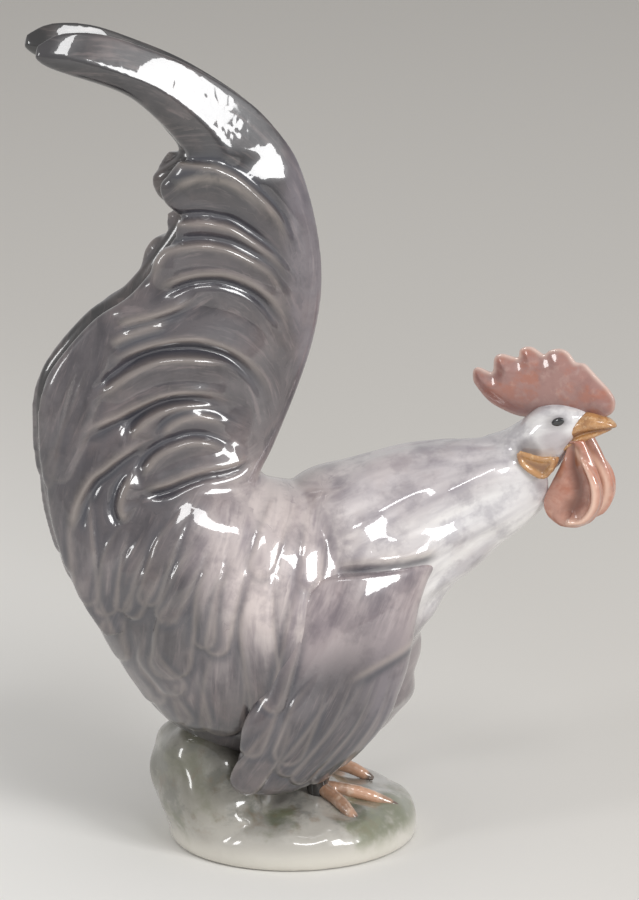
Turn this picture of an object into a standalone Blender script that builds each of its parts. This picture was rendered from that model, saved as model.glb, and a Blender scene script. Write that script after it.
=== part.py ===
"""Glazed porcelain rooster figurine standing on a low rocky base, one hollow slip-cast piece.

The rooster faces +X with its head turned to its right (-Y), +Z is up and the foot ring rests on
z = 0 under the middle of the outline.  Every size below is in millimetres.
"""

import math

import bmesh
import bpy
import numpy as np
from mathutils import Matrix, Vector, noise

MM = 0.001

# Casting
WALL = 5.0
VENT_DIAMETER = 8.0
VENT_X = -4.0
FOOT_RING_WIDTH = 6.0
FOOT_RECESS = 2.5
FLOOR_HOLLOW = 3.5
# Smallest share of a section that the hollow keeps where the body is thin
SMALLEST_SHARE = 0.2
BLOCK_LENGTH = 200.0
CUT_MARGIN = 1.0

# Fineness of the skins in millimetres, smoothing passes over them, and triangles kept
SURFACE_GRAIN = 1.0
BASE_GRAIN = 1.5
CAVITY_GRAIN = 3.0
PLUMAGE_PASSES = 4
WING_PASSES = 4
BASE_PASSES = 6
GLAZE_PASSES = 2
CAVITY_PASSES = 2
TRIANGLES_OUTSIDE = 10600
TRIANGLES_INSIDE = 900
RING_SIDES = 40
VENT_SIDES = 24
BALL_SUBDIVISIONS = 3
STEP_LENGTH = 4.0
FLAT_STEP = 1.0

# Body sections from the belly up to the tail root:
# front x, front z, rear x, rear z, half width, front y, rear y
TRUNK = [
    (12.0, 32.0, -12.0, 31.0, 9.0, 0.0, 0.0),
    (31.0, 37.0, -31.0, 36.0, 23.0, 0.0, 0.0),
    (41.0, 48.0, -48.0, 48.0, 32.0, 0.0, 0.0),
    (45.0, 62.0, -58.0, 62.0, 36.0, 0.0, 0.0),
    (46.0, 78.0, -66.0, 75.0, 37.5, 0.0, 0.0),
    (44.0, 95.0, -71.5, 87.0, 36.5, 0.0, 0.0),
    (32.0, 114.0, -75.5, 97.0, 33.5, 0.0, 0.0),
    (12.0, 126.0, -79.0, 108.0, 28.0, 0.0, 0.0),
    (-9.0, 132.0, -80.0, 122.0, 21.5, 0.0, 0.0),
    (-13.0, 141.0, -76.0, 140.0, 14.5, 0.0, 0.0),
    (-17.0, 151.0, -70.0, 156.0, 9.0, 0.0, 0.0),
]

# Neck sections from inside the breast to the head, in the same columns
NECK = [
    (42.0, 60.0, -12.0, 116.0, 30.0, 0.0, 0.0),
    (46.0, 74.0, 3.0, 130.5, 32.5, 0.0, 0.0),
    (50.5, 83.5, 20.6, 135.8, 29.5, 0.0, 0.0),
    (57.5, 90.5, 38.6, 139.8, 25.0, -1.5, -1.0),
    (68.0, 100.5, 56.7, 142.2, 20.0, -5.0, -4.0),
    (79.5, 111.5, 74.0, 144.0, 15.5, -10.5, -9.0),
    (88.0, 120.5, 84.0, 147.6, 12.0, -15.0, -14.0),
]

# One of the two tail curtains from the rump to the sickle tip, in the same columns
CURTAIN = [
    (-14.0, 106.0, -69.0, 83.0, 8.0, 8.0, 15.0),
    (-14.0, 120.0, -77.0, 96.0, 11.0, 7.0, 13.0),
    (-13.3, 133.4, -82.0, 109.0, 12.5, 6.0, 11.0),
    (-7.7, 144.4, -86.6, 129.0, 11.5, 5.0, 8.0),
    (0.3, 162.3, -89.4, 154.0, 9.0, 4.0, 6.5),
    (5.7, 177.0, -87.6, 170.5, 8.2, 3.5, 6.5),
    (8.6, 189.0, -80.5, 181.5, 7.8, 3.5, 6.7),
    (9.8, 198.5, -70.0, 192.5, 7.4, 3.5, 7.0),
    (9.8, 207.0, -57.5, 200.5, 7.2, 3.5, 7.3),
    (8.8, 216.5, -46.6, 213.5, 7.0, 3.5, 7.5),
    (6.9, 226.0, -39.5, 225.0, 6.6, 4.0, 7.5),
    (4.4, 235.5, -45.5, 231.5, 6.6, 4.0, 8.0),
    (1.0, 244.5, -46.8, 238.8, 6.4, 4.5, 8.0),
    (-3.4, 251.5, -38.0, 246.0, 6.2, 5.0, 7.8),
    (-12.3, 261.9, -42.0, 253.4, 6.0, 5.7, 8.0),
    (-23.0, 270.2, -49.5, 261.6, 5.8, 7.0, 8.8),
    (-36.5, 278.4, -58.0, 268.6, 5.6, 8.8, 10.0),
    (-50.0, 284.4, -67.5, 273.0, 5.4, 10.4, 11.4),
    (-66.5, 290.2, -77.6, 276.6, 4.9, 12.0, 12.6),
    (-80.5, 290.9, -85.5, 279.8, 3.9, 13.0, 13.4),
    (-88.7, 287.3, -89.6, 282.7, 1.7, 13.6, 13.8),
]

# One folded wing from the shoulder ledge to the tip, in the same columns
WING = [
    (43.0, 105.0, 6.0, 103.6, 7.0, 24.5, 34.0),
    (45.5, 103.6, 2.5, 101.8, 8.6, 24.0, 34.6),
    (42.5, 98.5, -3.5, 96.5, 9.6, 25.0, 35.4),
    (39.0, 90.0, -8.0, 87.0, 10.0, 27.0, 36.2),
    (37.0, 78.0, -12.0, 75.0, 10.0, 28.0, 36.3),
    (34.8, 66.0, -16.5, 65.0, 9.8, 27.5, 35.6),
    (29.5, 52.5, -23.5, 54.0, 9.4, 27.0, 34.2),
    (21.5, 42.0, -24.5, 45.5, 8.9, 26.5, 32.8),
    (13.0, 34.2, -26.5, 37.5, 8.3, 26.0, 31.4),
    (2.5, 27.6, -27.5, 31.5, 7.2, 26.0, 30.4),
    (-7.0, 24.8, -22.5, 26.6, 4.6, 27.0, 29.4),
]

# One feathered thigh from the belly to the ankle, in the same columns
THIGH = [
    (20.0, 46.0, -14.0, 46.0, 13.0, 14.0, 15.0),
    (16.0, 34.0, -8.0, 34.0, 9.5, 13.5, 14.0),
    (11.0, 25.0, 1.0, 25.0, 5.0, 13.0, 13.0),
    (9.0, 17.0, 3.0, 16.0, 3.6, 13.0, 13.0),
]

# Base and rear rock: height, middle x, middle y, half length, half depth
BASE = [
    (-2.0, 0.0, 0.0, 43.0, 41.0),
    (2.0, 0.0, 0.0, 44.5, 42.5),
    (8.0, 0.0, 0.0, 44.0, 42.0),
    (12.0, 0.0, 0.0, 41.0, 38.5),
    (15.0, -1.0, 0.0, 33.0, 31.0),
    (17.5, -2.0, 0.0, 20.0, 19.0),
    (18.5, -2.0, 0.0, 8.0, 8.0),
]
ROCK = [
    (2.0, -21.0, 1.0, 22.0, 32.0),
    (12.0, -25.0, 1.0, 22.5, 31.0),
    (21.0, -29.0, 2.0, 21.0, 28.0),
    (28.0, -30.0, 2.0, 20.0, 25.5),
    (35.0, -31.0, 1.0, 17.5, 22.0),
    (41.0, -32.0, 0.0, 12.5, 16.0),
    (45.0, -32.0, 0.0, 6.0, 9.0),
]
ROCK_LUMP_HEIGHT = 1.3
ROCK_LUMP_SIZE = 13.0
# Height of the smooth base wall, then the height from which the rock is fully lumpy
SMOOTH_WALL_TOP = 4.0
LUMPS_FROM = 16.0

# Near foot then far foot: ankle, then the toe tips, as x, y, z
NEAR_ANKLE = (6.5, -13.0, 21.0)
NEAR_TOES = [(35.5, -15.5, 13.2), (18.5, -28.5, 13.6), (30.0, 0.0, 15.2), (-9.0, -15.0, 17.0)]
FAR_ANKLE = (13.0, 13.0, 21.0)
FAR_TOES = [(34.0, 13.5, 14.2), (27.0, 25.0, 13.6), (33.0, 5.0, 15.0), (-5.0, 14.0, 17.0)]
TOE_RADIUS = 2.7
CLAW_RADIUS = 0.8
KNUCKLE_RISE = 1.2
# Places along a toe from ankle to claw, and the share of the toe radius at each
TOE_PLACES = [0.0, 0.3, 0.5, 0.82, 1.0]
TOE_SHARES = [1.0, 1.0, 1.0, 0.8]

# Head, placed at its middle and turned to the rooster's right
HEAD_PLACE = (88.4, -16.5, 144.7)
HEAD_TURN = -37.0
# Head and beak sections: top u, top w, bottom u, bottom w, half width, sideways, sideways
SKULL = [
    (-25.0, -2.0, -20.0, -13.0, 9.5, 0.0, 0.0),
    (-17.5, 1.0, -13.5, -11.0, 9.2, 0.0, 0.0),
    (-10.5, 5.6, -7.5, -11.5, 9.6, 0.0, 0.0),
    (-3.5, 11.4, -1.0, -10.5, 9.8, 0.0, 0.0),
    (4.0, 13.2, 5.0, -11.0, 8.8, 0.0, 0.0),
    (11.0, 12.0, 10.0, -7.0, 6.6, 0.0, 0.0),
    (15.0, 11.3, 12.0, -1.2, 5.2, 0.0, 0.0),
    (18.3, 10.4, 16.8, 1.8, 4.2, 0.0, 0.0),
    (21.0, 9.3, 20.4, 3.6, 3.0, 0.0, 0.0),
    (23.2, 8.1, 22.7, 5.0, 1.9, 0.0, 0.0),
    (24.3, 7.2, 24.2, 6.0, 0.9, 0.0, 0.0),
]
COMB_THICKNESS = 4.6
PLATE_EDGE_SHARE = 0.3
PLATE_EDGE_SEGMENTS = 3
SHARP_ANGLE = 80.0
COMB = [
    (-28.6, 17.2), (-29.0, 20.7), (-27.5, 22.9), (-21.7, 21.5), (-21.0, 26.5), (-18.7, 28.5),
    (-12.1, 27.7), (-11.3, 30.8), (-7.6, 32.1), (-2.5, 29.7), (-0.5, 31.4), (3.3, 32.4),
    (6.5, 31.2), (9.3, 28.0), (12.4, 28.0), (17.2, 23.7), (21.9, 19.3), (24.1, 15.1),
    (21.6, 10.2), (7.7, 8.0), (-4.0, 7.5), (-10.6, 6.8), (-17.6, 8.6), (-23.4, 11.6),
]
# One wattle: front u, front w, rear u, rear w, half thickness, sideways, sideways
WATTLE = [
    (14.5, 2.0, 9.5, 0.5, 2.0, 4.6, 4.6),
    (16.6, -3.5, 9.2, -3.5, 2.0, 4.8, 5.0),
    (19.8, -9.5, 7.0, -9.5, 2.0, 5.0, 5.4),
    (21.9, -16.0, 4.2, -16.0, 2.0, 5.2, 5.8),
    (21.4, -21.5, 2.2, -21.5, 2.0, 5.6, 6.2),
    (17.4, -26.9, 4.2, -26.4, 1.8, 6.0, 6.6),
    (12.5, -28.6, 8.0, -28.4, 1.6, 6.4, 6.8),
]
WATTLE_RIM_RADIUS = 2.0
WATTLE_RIM = [
    (12.9, 5.8, -0.5), (7.9, 6.6, -9.8), (5.2, 7.0, -15.0), (2.8, 7.4, -19.6), (3.8, 8.0, -26.3),
    (12.0, 8.2, -28.3), (17.2, 8.0, -26.7), (21.7, 7.4, -17.6), (20.8, 7.0, -12.9),
    (17.0, 6.2, -5.1), (12.9, 5.8, -0.5),
]
EAR_LOBE_PLACE = (-0.5, 9.0, -7.0)
EAR_LOBE_RADII = (6.6, 3.0, 4.8)
EYE_PLACE = (6.0, 8.1, 7.5)
EYE_RADII = (2.4, 1.2, 1.6)

# Feather edges: side of the feather on each line (1 right, -1 left), height of the edge, distance
# to where the feather lies flat, then the line as x, z
TAIL_LIPS = [
    (1.0, 3.4, 13.0, [
        (-47.4, 239.7), (-46.0, 242.4), (-42.6, 244.3), (-37.8, 245.7), (-32.7, 245.8),
        (-27.5, 244.8), (-18.7, 239.3), (-8.4, 229.0), (-4.2, 221.9), (-1.1, 213.1),
    ]),
    (1.0, 1.2, 6.0, [
        (-45.0, 236.5), (-41.5, 239.5), (-37.5, 241.3), (-32.7, 242.2), (-26.8, 241.3),
        (-20.7, 238.3), (-14.5, 233.0), (-9.0, 226.5),
    ]),
    (1.0, 3.4, 9.0, [
        (-46.3, 216.4), (-45.6, 220.8), (-42.8, 224.2), (-39.0, 226.1), (-33.5, 226.7),
        (-27.7, 225.6), (-21.5, 223.3), (-10.5, 214.9), (-5.6, 209.5), (-1.5, 203.1),
    ]),
    (1.0, 3.4, 13.0, [
        (-52.8, 202.7), (-50.7, 207.8), (-48.2, 212.5), (-45.1, 215.9), (-39.9, 218.0),
        (-33.8, 218.8), (-27.9, 218.1), (-21.7, 215.9), (-10.7, 208.9), (-5.9, 202.8),
        (-2.4, 195.6),
    ]),
    (-1.0, 2.2, 9.0, [
        (-49.4, 200.9), (-45.9, 202.8), (-41.8, 204.7), (-37.7, 205.9), (-33.2, 206.4),
        (-27.3, 206.1), (-21.1, 204.1), (-15.6, 201.1), (-10.7, 196.7), (-6.6, 190.9),
        (-3.1, 183.8),
    ]),
    (-1.0, 2.2, 9.0, [
        (-63.2, 189.4), (-59.1, 190.9), (-52.2, 192.3), (-46.0, 194.1), (-40.1, 196.3),
        (-35.0, 199.2),
    ]),
    (-1.0, 2.0, 7.0, [
        (-65.0, 182.5), (-61.9, 184.8), (-57.4, 186.7), (-52.3, 188.2), (-48.1, 189.4),
        (-43.6, 192.6),
    ]),
    (-1.0, 2.4, 13.0, [
        (-65.3, 175.8), (-61.1, 179.1), (-56.0, 181.3), (-50.8, 182.8), (-45.6, 183.7),
        (-40.4, 184.0), (-35.3, 183.6), (-30.1, 182.1), (-24.9, 179.8), (-20.1, 176.4),
        (-15.9, 172.0), (-12.4, 166.2), (-10.4, 159.7),
    ]),
    (1.0, 3.4, 13.0, [
        (-72.3, 165.7), (-68.8, 169.0), (-64.7, 172.3), (-60.2, 175.2), (-55.3, 177.6),
        (-50.5, 179.3), (-45.0, 180.0), (-38.8, 179.9), (-32.9, 179.1), (-27.7, 177.8),
        (-23.2, 175.8), (-19.0, 172.8),
    ]),
    (-1.0, 2.4, 10.0, [
        (-75.4, 152.8), (-68.5, 156.3), (-63.3, 158.5), (-58.1, 161.0), (-52.9, 163.2),
        (-48.4, 164.7), (-42.5, 165.5), (-35.6, 165.1), (-28.7, 163.4), (-21.7, 159.8),
    ]),
    (1.0, 2.6, 9.0, [
        (-60.5, 149.8), (-59.4, 154.3), (-56.6, 157.3), (-52.4, 160.2), (-47.9, 162.1),
        (-42.0, 163.2), (-34.1, 162.8), (-26.1, 160.3),
    ]),
    (1.0, 1.8, 7.0, [
        (-49.8, 151.7), (-47.6, 155.4), (-43.5, 158.0), (-37.6, 159.5), (-30.6, 158.4),
        (-23.7, 154.9),
    ]),
    (1.0, 2.6, 9.0, [
        (-57.2, 137.8), (-55.7, 141.9), (-52.9, 145.3), (-49.1, 147.9), (-44.2, 149.8),
        (-39.0, 150.9), (-32.8, 150.2), (-26.6, 147.4), (-22.4, 144.4),
    ]),
    (-1.0, 2.6, 12.0, [
        (-78.9, 117.9), (-78.1, 123.2), (-77.0, 128.5), (-74.8, 133.6), (-71.7, 138.1),
        (-67.8, 141.0), (-63.6, 144.3), (-59.5, 146.9), (-55.0, 149.5), (-49.8, 151.3),
    ]),
    (-1.0, 3.0, 9.0, [
        (-56.5, 133.0), (-52.4, 133.8), (-47.2, 134.9), (-41.9, 136.7), (-36.7, 138.2),
        (-31.5, 139.0), (-26.3, 139.4), (-21.1, 140.5), (-16.9, 142.8),
    ]),
    (1.0, 2.4, 8.0, [
        (-62.2, 122.5), (-64.6, 125.5), (-65.2, 129.7), (-63.8, 134.6), (-61.3, 138.7),
        (-57.8, 142.4),
    ]),
]
# Narrow feathers laid over the skin: half width, height, then the line from root to tip as x, z
DRAPE_STRANDS = [
    (5.0, 1.6, [(-65.8, 192.6), (-73.5, 166.3), (-83.2, 141.8)]),
    (5.0, 1.6, [(-74.2, 189.0), (-83.9, 166.3), (-89.5, 138.3)]),
    (5.0, 1.6, [(-78.7, 148.8), (-84.5, 131.3), (-83.0, 109.0)]),
]
SADDLE_STRANDS = [
    (4.5, 1.6, [(-73.5, 147.0), (-77.0, 124.0), (-75.5, 98.0)]),
    (4.8, 2.0, [(-62.9, 133.8), (-69.0, 108.9), (-69.5, 83.0)]),
    (5.0, 2.0, [(-47.6, 130.2), (-56.1, 105.3), (-62.0, 77.0)]),
    (6.6, 2.6, [(-39.1, 126.7), (-42.5, 105.3), (-46.5, 76.5)]),
    (4.2, 2.0, [(-30.6, 133.8), (-34.0, 112.4), (-38.1, 87.0)]),
    (4.6, 2.0, [(-22.1, 144.5), (-27.2, 126.7), (-31.6, 104.0)]),
    (5.0, 2.0, [(-11.9, 140.9), (-18.0, 123.1), (-22.5, 99.0)]),
    (6.2, 2.4, [(-22.1, 112.4), (-28.9, 91.1), (-31.3, 61.0)]),
    (5.0, 2.4, [(-15.3, 112.4), (-19.4, 87.5), (-18.5, 63.0)]),
    (4.2, 2.0, [(-3.0, 128.0), (-8.5, 98.2), (-14.0, 62.0)]),
    (4.2, 2.0, [(4.0, 130.0), (-1.7, 110.0), (-6.0, 88.0)]),
    (4.5, 2.0, [(13.0, 131.0), (7.0, 118.0), (2.0, 106.0)]),
    (6.0, 2.0, [(-42.5, 78.0), (-45.0, 64.0), (-41.0, 51.0)]),
    (4.8, 2.0, [(-53.0, 80.0), (-55.0, 68.0), (-51.5, 58.0)]),
    (6.0, 2.0, [(-33.0, 66.0), (-32.5, 56.0), (-30.0, 48.0)]),
]
WING_STRANDS = [
    (4.0, 1.9, [(-3.0, 99.0), (-9.0, 81.3), (-14.5, 62.0)]),
    (4.8, 1.9, [(-6.0, 85.0), (-16.0, 63.4), (-22.0, 46.5)]),
    (5.6, 2.2, [(-9.3, 63.4), (-15.3, 47.3), (-24.0, 31.5)]),
    (6.0, 1.9, [(4.0, 74.2), (-4.3, 58.0), (-9.5, 44.5)]),
    (4.6, 1.7, [(14.0, 76.0), (4.0, 56.3), (-9.5, 38.0)]),
    (4.6, 1.5, [(22.5, 77.7), (12.5, 54.5), (-4.5, 34.0)]),
    (4.6, 1.3, [(27.5, 74.0), (19.2, 50.9), (3.5, 31.5)]),
    (4.4, 1.1, [(31.0, 68.0), (25.5, 50.9), (14.0, 35.0)]),
]
COVERT_LIPS = [
    (1.0, 1.0, 14.0, [(38.0, 83.0), (28.0, 79.5), (16.0, 77.0), (5.0, 74.0), (-8.0, 73.0)]),
]
# Groove in front of a feather edge, width of the edge's slope, and the shares of a line's length
# over which the edge grows from its tip and sinks away at its root
LIP_GROOVE = 1.2
LIP_EDGE = 1.2
TIP_FADE = 0.08
ROOT_FADE = 0.35
# Share of its width that a narrow feather has at its root, the share of its length by which it
# has its full width, and the share by which it has its full height
ROOT_WIDTH = 0.45
FULL_WIDTH_AT = 0.6
FULL_HEIGHT_AT = 0.7
# Feathers are raised only where the skin faces sideways, between these sideways directions
SIDEWAYS_FROM = -0.1
SIDEWAYS_FULL = 0.35


def smooth_rows(rows, step):
    """Pass a smooth curve through table rows and return closely spaced rows."""
    rows = np.array(rows, dtype=float)
    padded = np.vstack([2 * rows[0] - rows[1], rows, 2 * rows[-1] - rows[-2]])
    result = []
    for index in range(len(rows) - 1):
        before, start, end, after = padded[index:index + 4]
        count = max(2, int(np.linalg.norm((end - start)[:4]) / 2 / step) + 1)
        for t in np.arange(count) / count:
            bend = (2 * before - 5 * start + 4 * end - after) * t * t
            ease = (3 * start - before - 3 * end + after) * t ** 3
            result.append(start + 0.5 * ((end - before) * t + bend + ease))
    result.append(rows[-1])
    return np.array(result)


def bridge_rings(bm, rings):
    """Join consecutive rings of edges with quads."""
    for lower, upper in zip(rings, rings[1:]):
        bmesh.ops.bridge_loops(bm, edges=lower + upper)


def ring_edges(bm, matrix, capped):
    """Add one round section placed by a matrix and return its edges."""
    made = bmesh.ops.create_circle(bm, cap_ends=capped, segments=RING_SIDES, radius=1.0, matrix=matrix)
    return list({edge for vert in made["verts"] for edge in vert.link_edges})


def add_loft(bm, rows, side=1.0, inset=0.0, place=Matrix.Identity(4)):
    """Loft elliptical sections given by their front and rear edges in side view."""
    rings = []
    table = smooth_rows(rows, STEP_LENGTH)
    for number, row in enumerate(table):
        front = Vector((row[0], row[5] * side, row[1]))
        rear = Vector((row[2], row[6] * side, row[3]))
        along = (front - rear) / 2
        along *= max(SMALLEST_SHARE, 1 - inset / along.length)
        middle = (front + rear) / 2
        across = max(row[4] - inset, SMALLEST_SHARE * row[4])
        matrix = Matrix((
            (along.x, 0.0, 0.0, middle.x),
            (along.y, across, 0.0, middle.y),
            (along.z, 0.0, 1.0, middle.z),
            (0.0, 0.0, 0.0, 1.0),
        ))
        last = number in (0, len(table) - 1)
        rings.append(ring_edges(bm, place @ matrix, last))
    bridge_rings(bm, rings)


def add_stack(bm, rows, inset=0.0):
    """Stack level oval sections given by height, middle and half sizes."""
    rings = []
    for number, (height, x, y, half_x, half_y) in enumerate(rows):
        matrix = Matrix.Translation((x, y, height))
        matrix @= Matrix.Diagonal((half_x - inset, half_y - inset, 1.0, 1.0))
        rings.append(ring_edges(bm, matrix, number in (0, len(rows) - 1)))
    bridge_rings(bm, rings)


def add_tube(bm, points, radii, place=Matrix.Identity(4)):
    """Sweep a round section along a line of points."""
    rings = []
    for index, (point, radius) in enumerate(zip(points, radii)):
        before = Vector(points[max(index - 1, 0)])
        after = Vector(points[min(index + 1, len(points) - 1)])
        turn = (after - before).to_track_quat("Z", "X").to_matrix().to_4x4()
        matrix = Matrix.Translation(point) @ turn @ Matrix.Diagonal((radius, radius, 1.0, 1.0))
        rings.append(ring_edges(bm, place @ matrix, index in (0, len(points) - 1)))
    bridge_rings(bm, rings)


def add_ellipsoid(bm, middle, radii, place=Matrix.Identity(4)):
    """Add an ellipsoid."""
    matrix = place @ Matrix.Translation(middle) @ Matrix.Diagonal((*radii, 1.0))
    bmesh.ops.create_icosphere(bm, subdivisions=BALL_SUBDIVISIONS, radius=1.0, matrix=matrix)


def add_plate(bm, outline, thickness, place):
    """Extrude an upright outline into a plate with rounded edges."""
    corners = [bm.verts.new(place @ Vector((u, -thickness / 2, w))) for u, w in outline]
    face = bm.faces.new(corners)
    made = bmesh.ops.extrude_face_region(bm, geom=[face])
    moved = [item for item in made["geom"] if isinstance(item, bmesh.types.BMVert)]
    shift = place.to_3x3() @ Vector((0.0, thickness, 0.0))
    bmesh.ops.translate(bm, verts=moved, vec=shift)
    rims = [edge for vert in corners + moved for edge in vert.link_edges]
    sharp = math.radians(SHARP_ANGLE)
    edges = [edge for edge in set(rims) if edge.is_manifold and edge.calc_face_angle() > sharp]
    bmesh.ops.bevel(bm, geom=edges, offset=thickness * PLATE_EDGE_SHARE, profile=0.5,
                    segments=PLATE_EDGE_SEGMENTS, affect="EDGES")


def to_object(name, bm):
    """Turn a mesh in millimetres into an object in metres."""
    bmesh.ops.recalc_face_normals(bm, faces=bm.faces)
    bmesh.ops.scale(bm, vec=(MM, MM, MM), verts=bm.verts)
    mesh = bpy.data.meshes.new(name)
    bm.to_mesh(mesh)
    bm.free()
    item = bpy.data.objects.new(name, mesh)
    bpy.context.scene.collection.objects.link(item)
    return item


def apply_modifiers(item):
    """Replace an object's mesh with the result of its modifiers."""
    bpy.context.view_layer.update()
    shown = item.evaluated_get(bpy.context.evaluated_depsgraph_get())
    item.data = bpy.data.meshes.new_from_object(shown)
    item.modifiers.clear()


def fuse(item, grain, passes):
    """Melt overlapping solids into one closed, softened skin."""
    remesh = item.modifiers.new("fuse", "REMESH")
    remesh.mode = "VOXEL"
    remesh.voxel_size = grain * MM
    smooth = item.modifiers.new("round", "SMOOTH")
    smooth.factor = 0.5
    smooth.iterations = round(passes)
    apply_modifiers(item)


def join(name, items):
    """Merge objects into one mesh and remove the originals."""
    bm = bmesh.new()
    for item in items:
        bm.from_mesh(item.data)
        bpy.data.objects.remove(item)
    mesh = bpy.data.meshes.new(name)
    bm.to_mesh(mesh)
    bm.free()
    joined = bpy.data.objects.new(name, mesh)
    bpy.context.scene.collection.objects.link(joined)
    return joined


def line_distance(points, line):
    """Return the distance to a line, right hand positive, and the place along it from 0 to 1."""
    line = smooth_rows([(x, z, 0.0, 0.0) for x, z in line], FLAT_STEP)[:, :2]
    steps = np.linalg.norm(np.diff(line, axis=0), axis=1)
    starts = np.concatenate([[0.0], np.cumsum(steps)])
    best = np.full(len(points), np.inf)
    place = np.zeros(len(points))
    sign = np.ones(len(points))
    for index, length in enumerate(steps):
        along = (line[index + 1] - line[index]) / length
        offset = points - line[index]
        t = np.clip(offset @ along, 0.0, length)
        away = offset - t[:, None] * along
        distance = np.hypot(away[:, 0], away[:, 1])
        nearer = distance < best
        best[nearer] = distance[nearer]
        place[nearer] = (starts[index] + t[nearer]) / starts[-1]
        cross = along[0] * away[:, 1] - along[1] * away[:, 0]
        sign[nearer] = np.where(cross[nearer] > 0, -1.0, 1.0)
    return best * sign, place


def ramp(values, low, high):
    """Rise smoothly from 0 at low to 1 at high."""
    t = np.clip((values - low) / (high - low), 0.0, 1.0)
    return t * t * (3 - 2 * t)


def lip_relief(points, lips):
    """Raise each feather at its edge and let it sink away behind the edge."""
    relief = np.zeros(len(points))
    for side, height, reach, line in lips:
        distance, place = line_distance(points, line)
        distance *= side
        rise = ramp(distance, -LIP_EDGE, 0.0) * np.clip(1 - distance / reach, 0.0, 1.0)
        fade = ramp(place, 0.0, TIP_FADE) * ramp(1 - place, 0.0, ROOT_FADE)
        groove = np.exp(-((distance / LIP_EDGE + 2.0) ** 2))
        relief = np.maximum(relief, height * rise * fade) - LIP_GROOVE * groove * fade
    return relief


def strand_relief(points, strands):
    """Lay rounded feathers that grow out of the skin toward their round tips."""
    relief = np.zeros(len(points))
    for half_width, height, line in strands:
        distance, place = line_distance(points, line)
        half = half_width * (ROOT_WIDTH + (1 - ROOT_WIDTH) * ramp(place, 0.0, FULL_WIDTH_AT))
        ridge = np.sqrt(np.clip(1 - (distance / half) ** 2, 0.0, 1.0))
        relief = np.maximum(relief, height * ridge * ramp(place, 0.0, FULL_HEIGHT_AT))
    return relief


def carve(item, relief_of):
    """Move every point along its normal by a relief in millimetres."""
    mesh = item.data
    count = len(mesh.vertices)
    places = np.empty(count * 3)
    normals = np.empty(count * 3)
    mesh.vertices.foreach_get("co", places)
    mesh.vertices.foreach_get("normal", normals)
    places = places.reshape(-1, 3) / MM
    normals = normals.reshape(-1, 3)
    sideways = normals[:, 1] * np.sign(places[:, 1])
    relief = relief_of(places) * ramp(sideways, SIDEWAYS_FROM, SIDEWAYS_FULL)
    places += normals * relief[:, None]
    mesh.vertices.foreach_set("co", (places * MM).ravel())
    mesh.update()


def plumage_relief(places):
    """Relief of the tail and saddle feathers."""
    flat = places[:, [0, 2]]
    return np.maximum(lip_relief(flat, TAIL_LIPS), strand_relief(flat, DRAPE_STRANDS + SADDLE_STRANDS))


def wing_relief(places):
    """Relief of the wing coverts and flight feathers."""
    flat = places[:, [0, 2]]
    return np.maximum(lip_relief(flat, COVERT_LIPS), strand_relief(flat, WING_STRANDS))


def rock_relief(places):
    """Soft lumps of the rock, fading out at the base wall."""
    lumps = np.array([noise.noise(Vector(place) / ROCK_LUMP_SIZE) for place in places])
    return 2 * ROCK_LUMP_HEIGHT * lumps * ramp(places[:, 2], SMOOTH_WALL_TOP, LUMPS_FROM)


def build_plumage():
    """Body, neck and the two tail curtains with their feathers."""
    bm = bmesh.new()
    add_loft(bm, TRUNK)
    add_loft(bm, NECK)
    add_loft(bm, CURTAIN, side=-1.0)
    add_loft(bm, CURTAIN, side=1.0)
    item = to_object("plumage", bm)
    fuse(item, SURFACE_GRAIN, PLUMAGE_PASSES)
    carve(item, plumage_relief)
    return item


def build_wings():
    """Both folded wings with their stepped feathers."""
    bm = bmesh.new()
    add_loft(bm, WING, side=-1.0)
    add_loft(bm, WING, side=1.0)
    item = to_object("wings", bm)
    fuse(item, SURFACE_GRAIN, WING_PASSES)
    carve(item, wing_relief)
    return item


def build_head():
    """Skull with beak, comb, wattles, ear lobes and eyes."""
    place = Matrix.Translation(HEAD_PLACE) @ Matrix.Rotation(math.radians(HEAD_TURN), 4, "Z")
    bm = bmesh.new()
    add_loft(bm, SKULL, place=place)
    add_plate(bm, COMB, COMB_THICKNESS, place)
    for side in (-1.0, 1.0):
        add_loft(bm, WATTLE, side=side, place=place)
        rim = smooth_rows([(u, v * side, w, 0.0) for u, v, w in WATTLE_RIM], FLAT_STEP)[:, :3]
        add_tube(bm, [tuple(point) for point in rim], [WATTLE_RIM_RADIUS] * len(rim), place)
        for middle, radii in ((EAR_LOBE_PLACE, EAR_LOBE_RADII), (EYE_PLACE, EYE_RADII)):
            add_ellipsoid(bm, (middle[0], middle[1] * side, middle[2]), radii, place)
    return to_object("head", bm)


def build_legs():
    """Feathered thighs, short shanks and spread toes."""
    bm = bmesh.new()
    for side, ankle, toes in ((-1.0, NEAR_ANKLE, NEAR_TOES), (1.0, FAR_ANKLE, FAR_TOES)):
        add_loft(bm, THIGH, side=side)
        for tip in toes:
            start = Vector(ankle)
            rise = Vector((0.0, 0.0, KNUCKLE_RISE))
            points = [start.lerp(Vector(tip), place) + rise * math.sin(math.pi * place)
                      for place in TOE_PLACES]
            add_tube(bm, points, [TOE_RADIUS * share for share in TOE_SHARES] + [CLAW_RADIUS])
    return to_object("legs", bm)


def build_base():
    """Low oval base with the rock that carries the tail end of the body."""
    bm = bmesh.new()
    add_stack(bm, BASE)
    add_stack(bm, ROCK)
    item = to_object("base", bm)
    fuse(item, BASE_GRAIN, BASE_PASSES)
    carve_all(item, rock_relief)
    return item


def carve_all(item, relief_of):
    """Move every point of a mesh straight out from its own normal."""
    mesh = item.data
    for vert, height in zip(mesh.vertices, relief_of(np.array([v.co / MM for v in mesh.vertices]))):
        vert.co += vert.normal * height * MM


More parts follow.
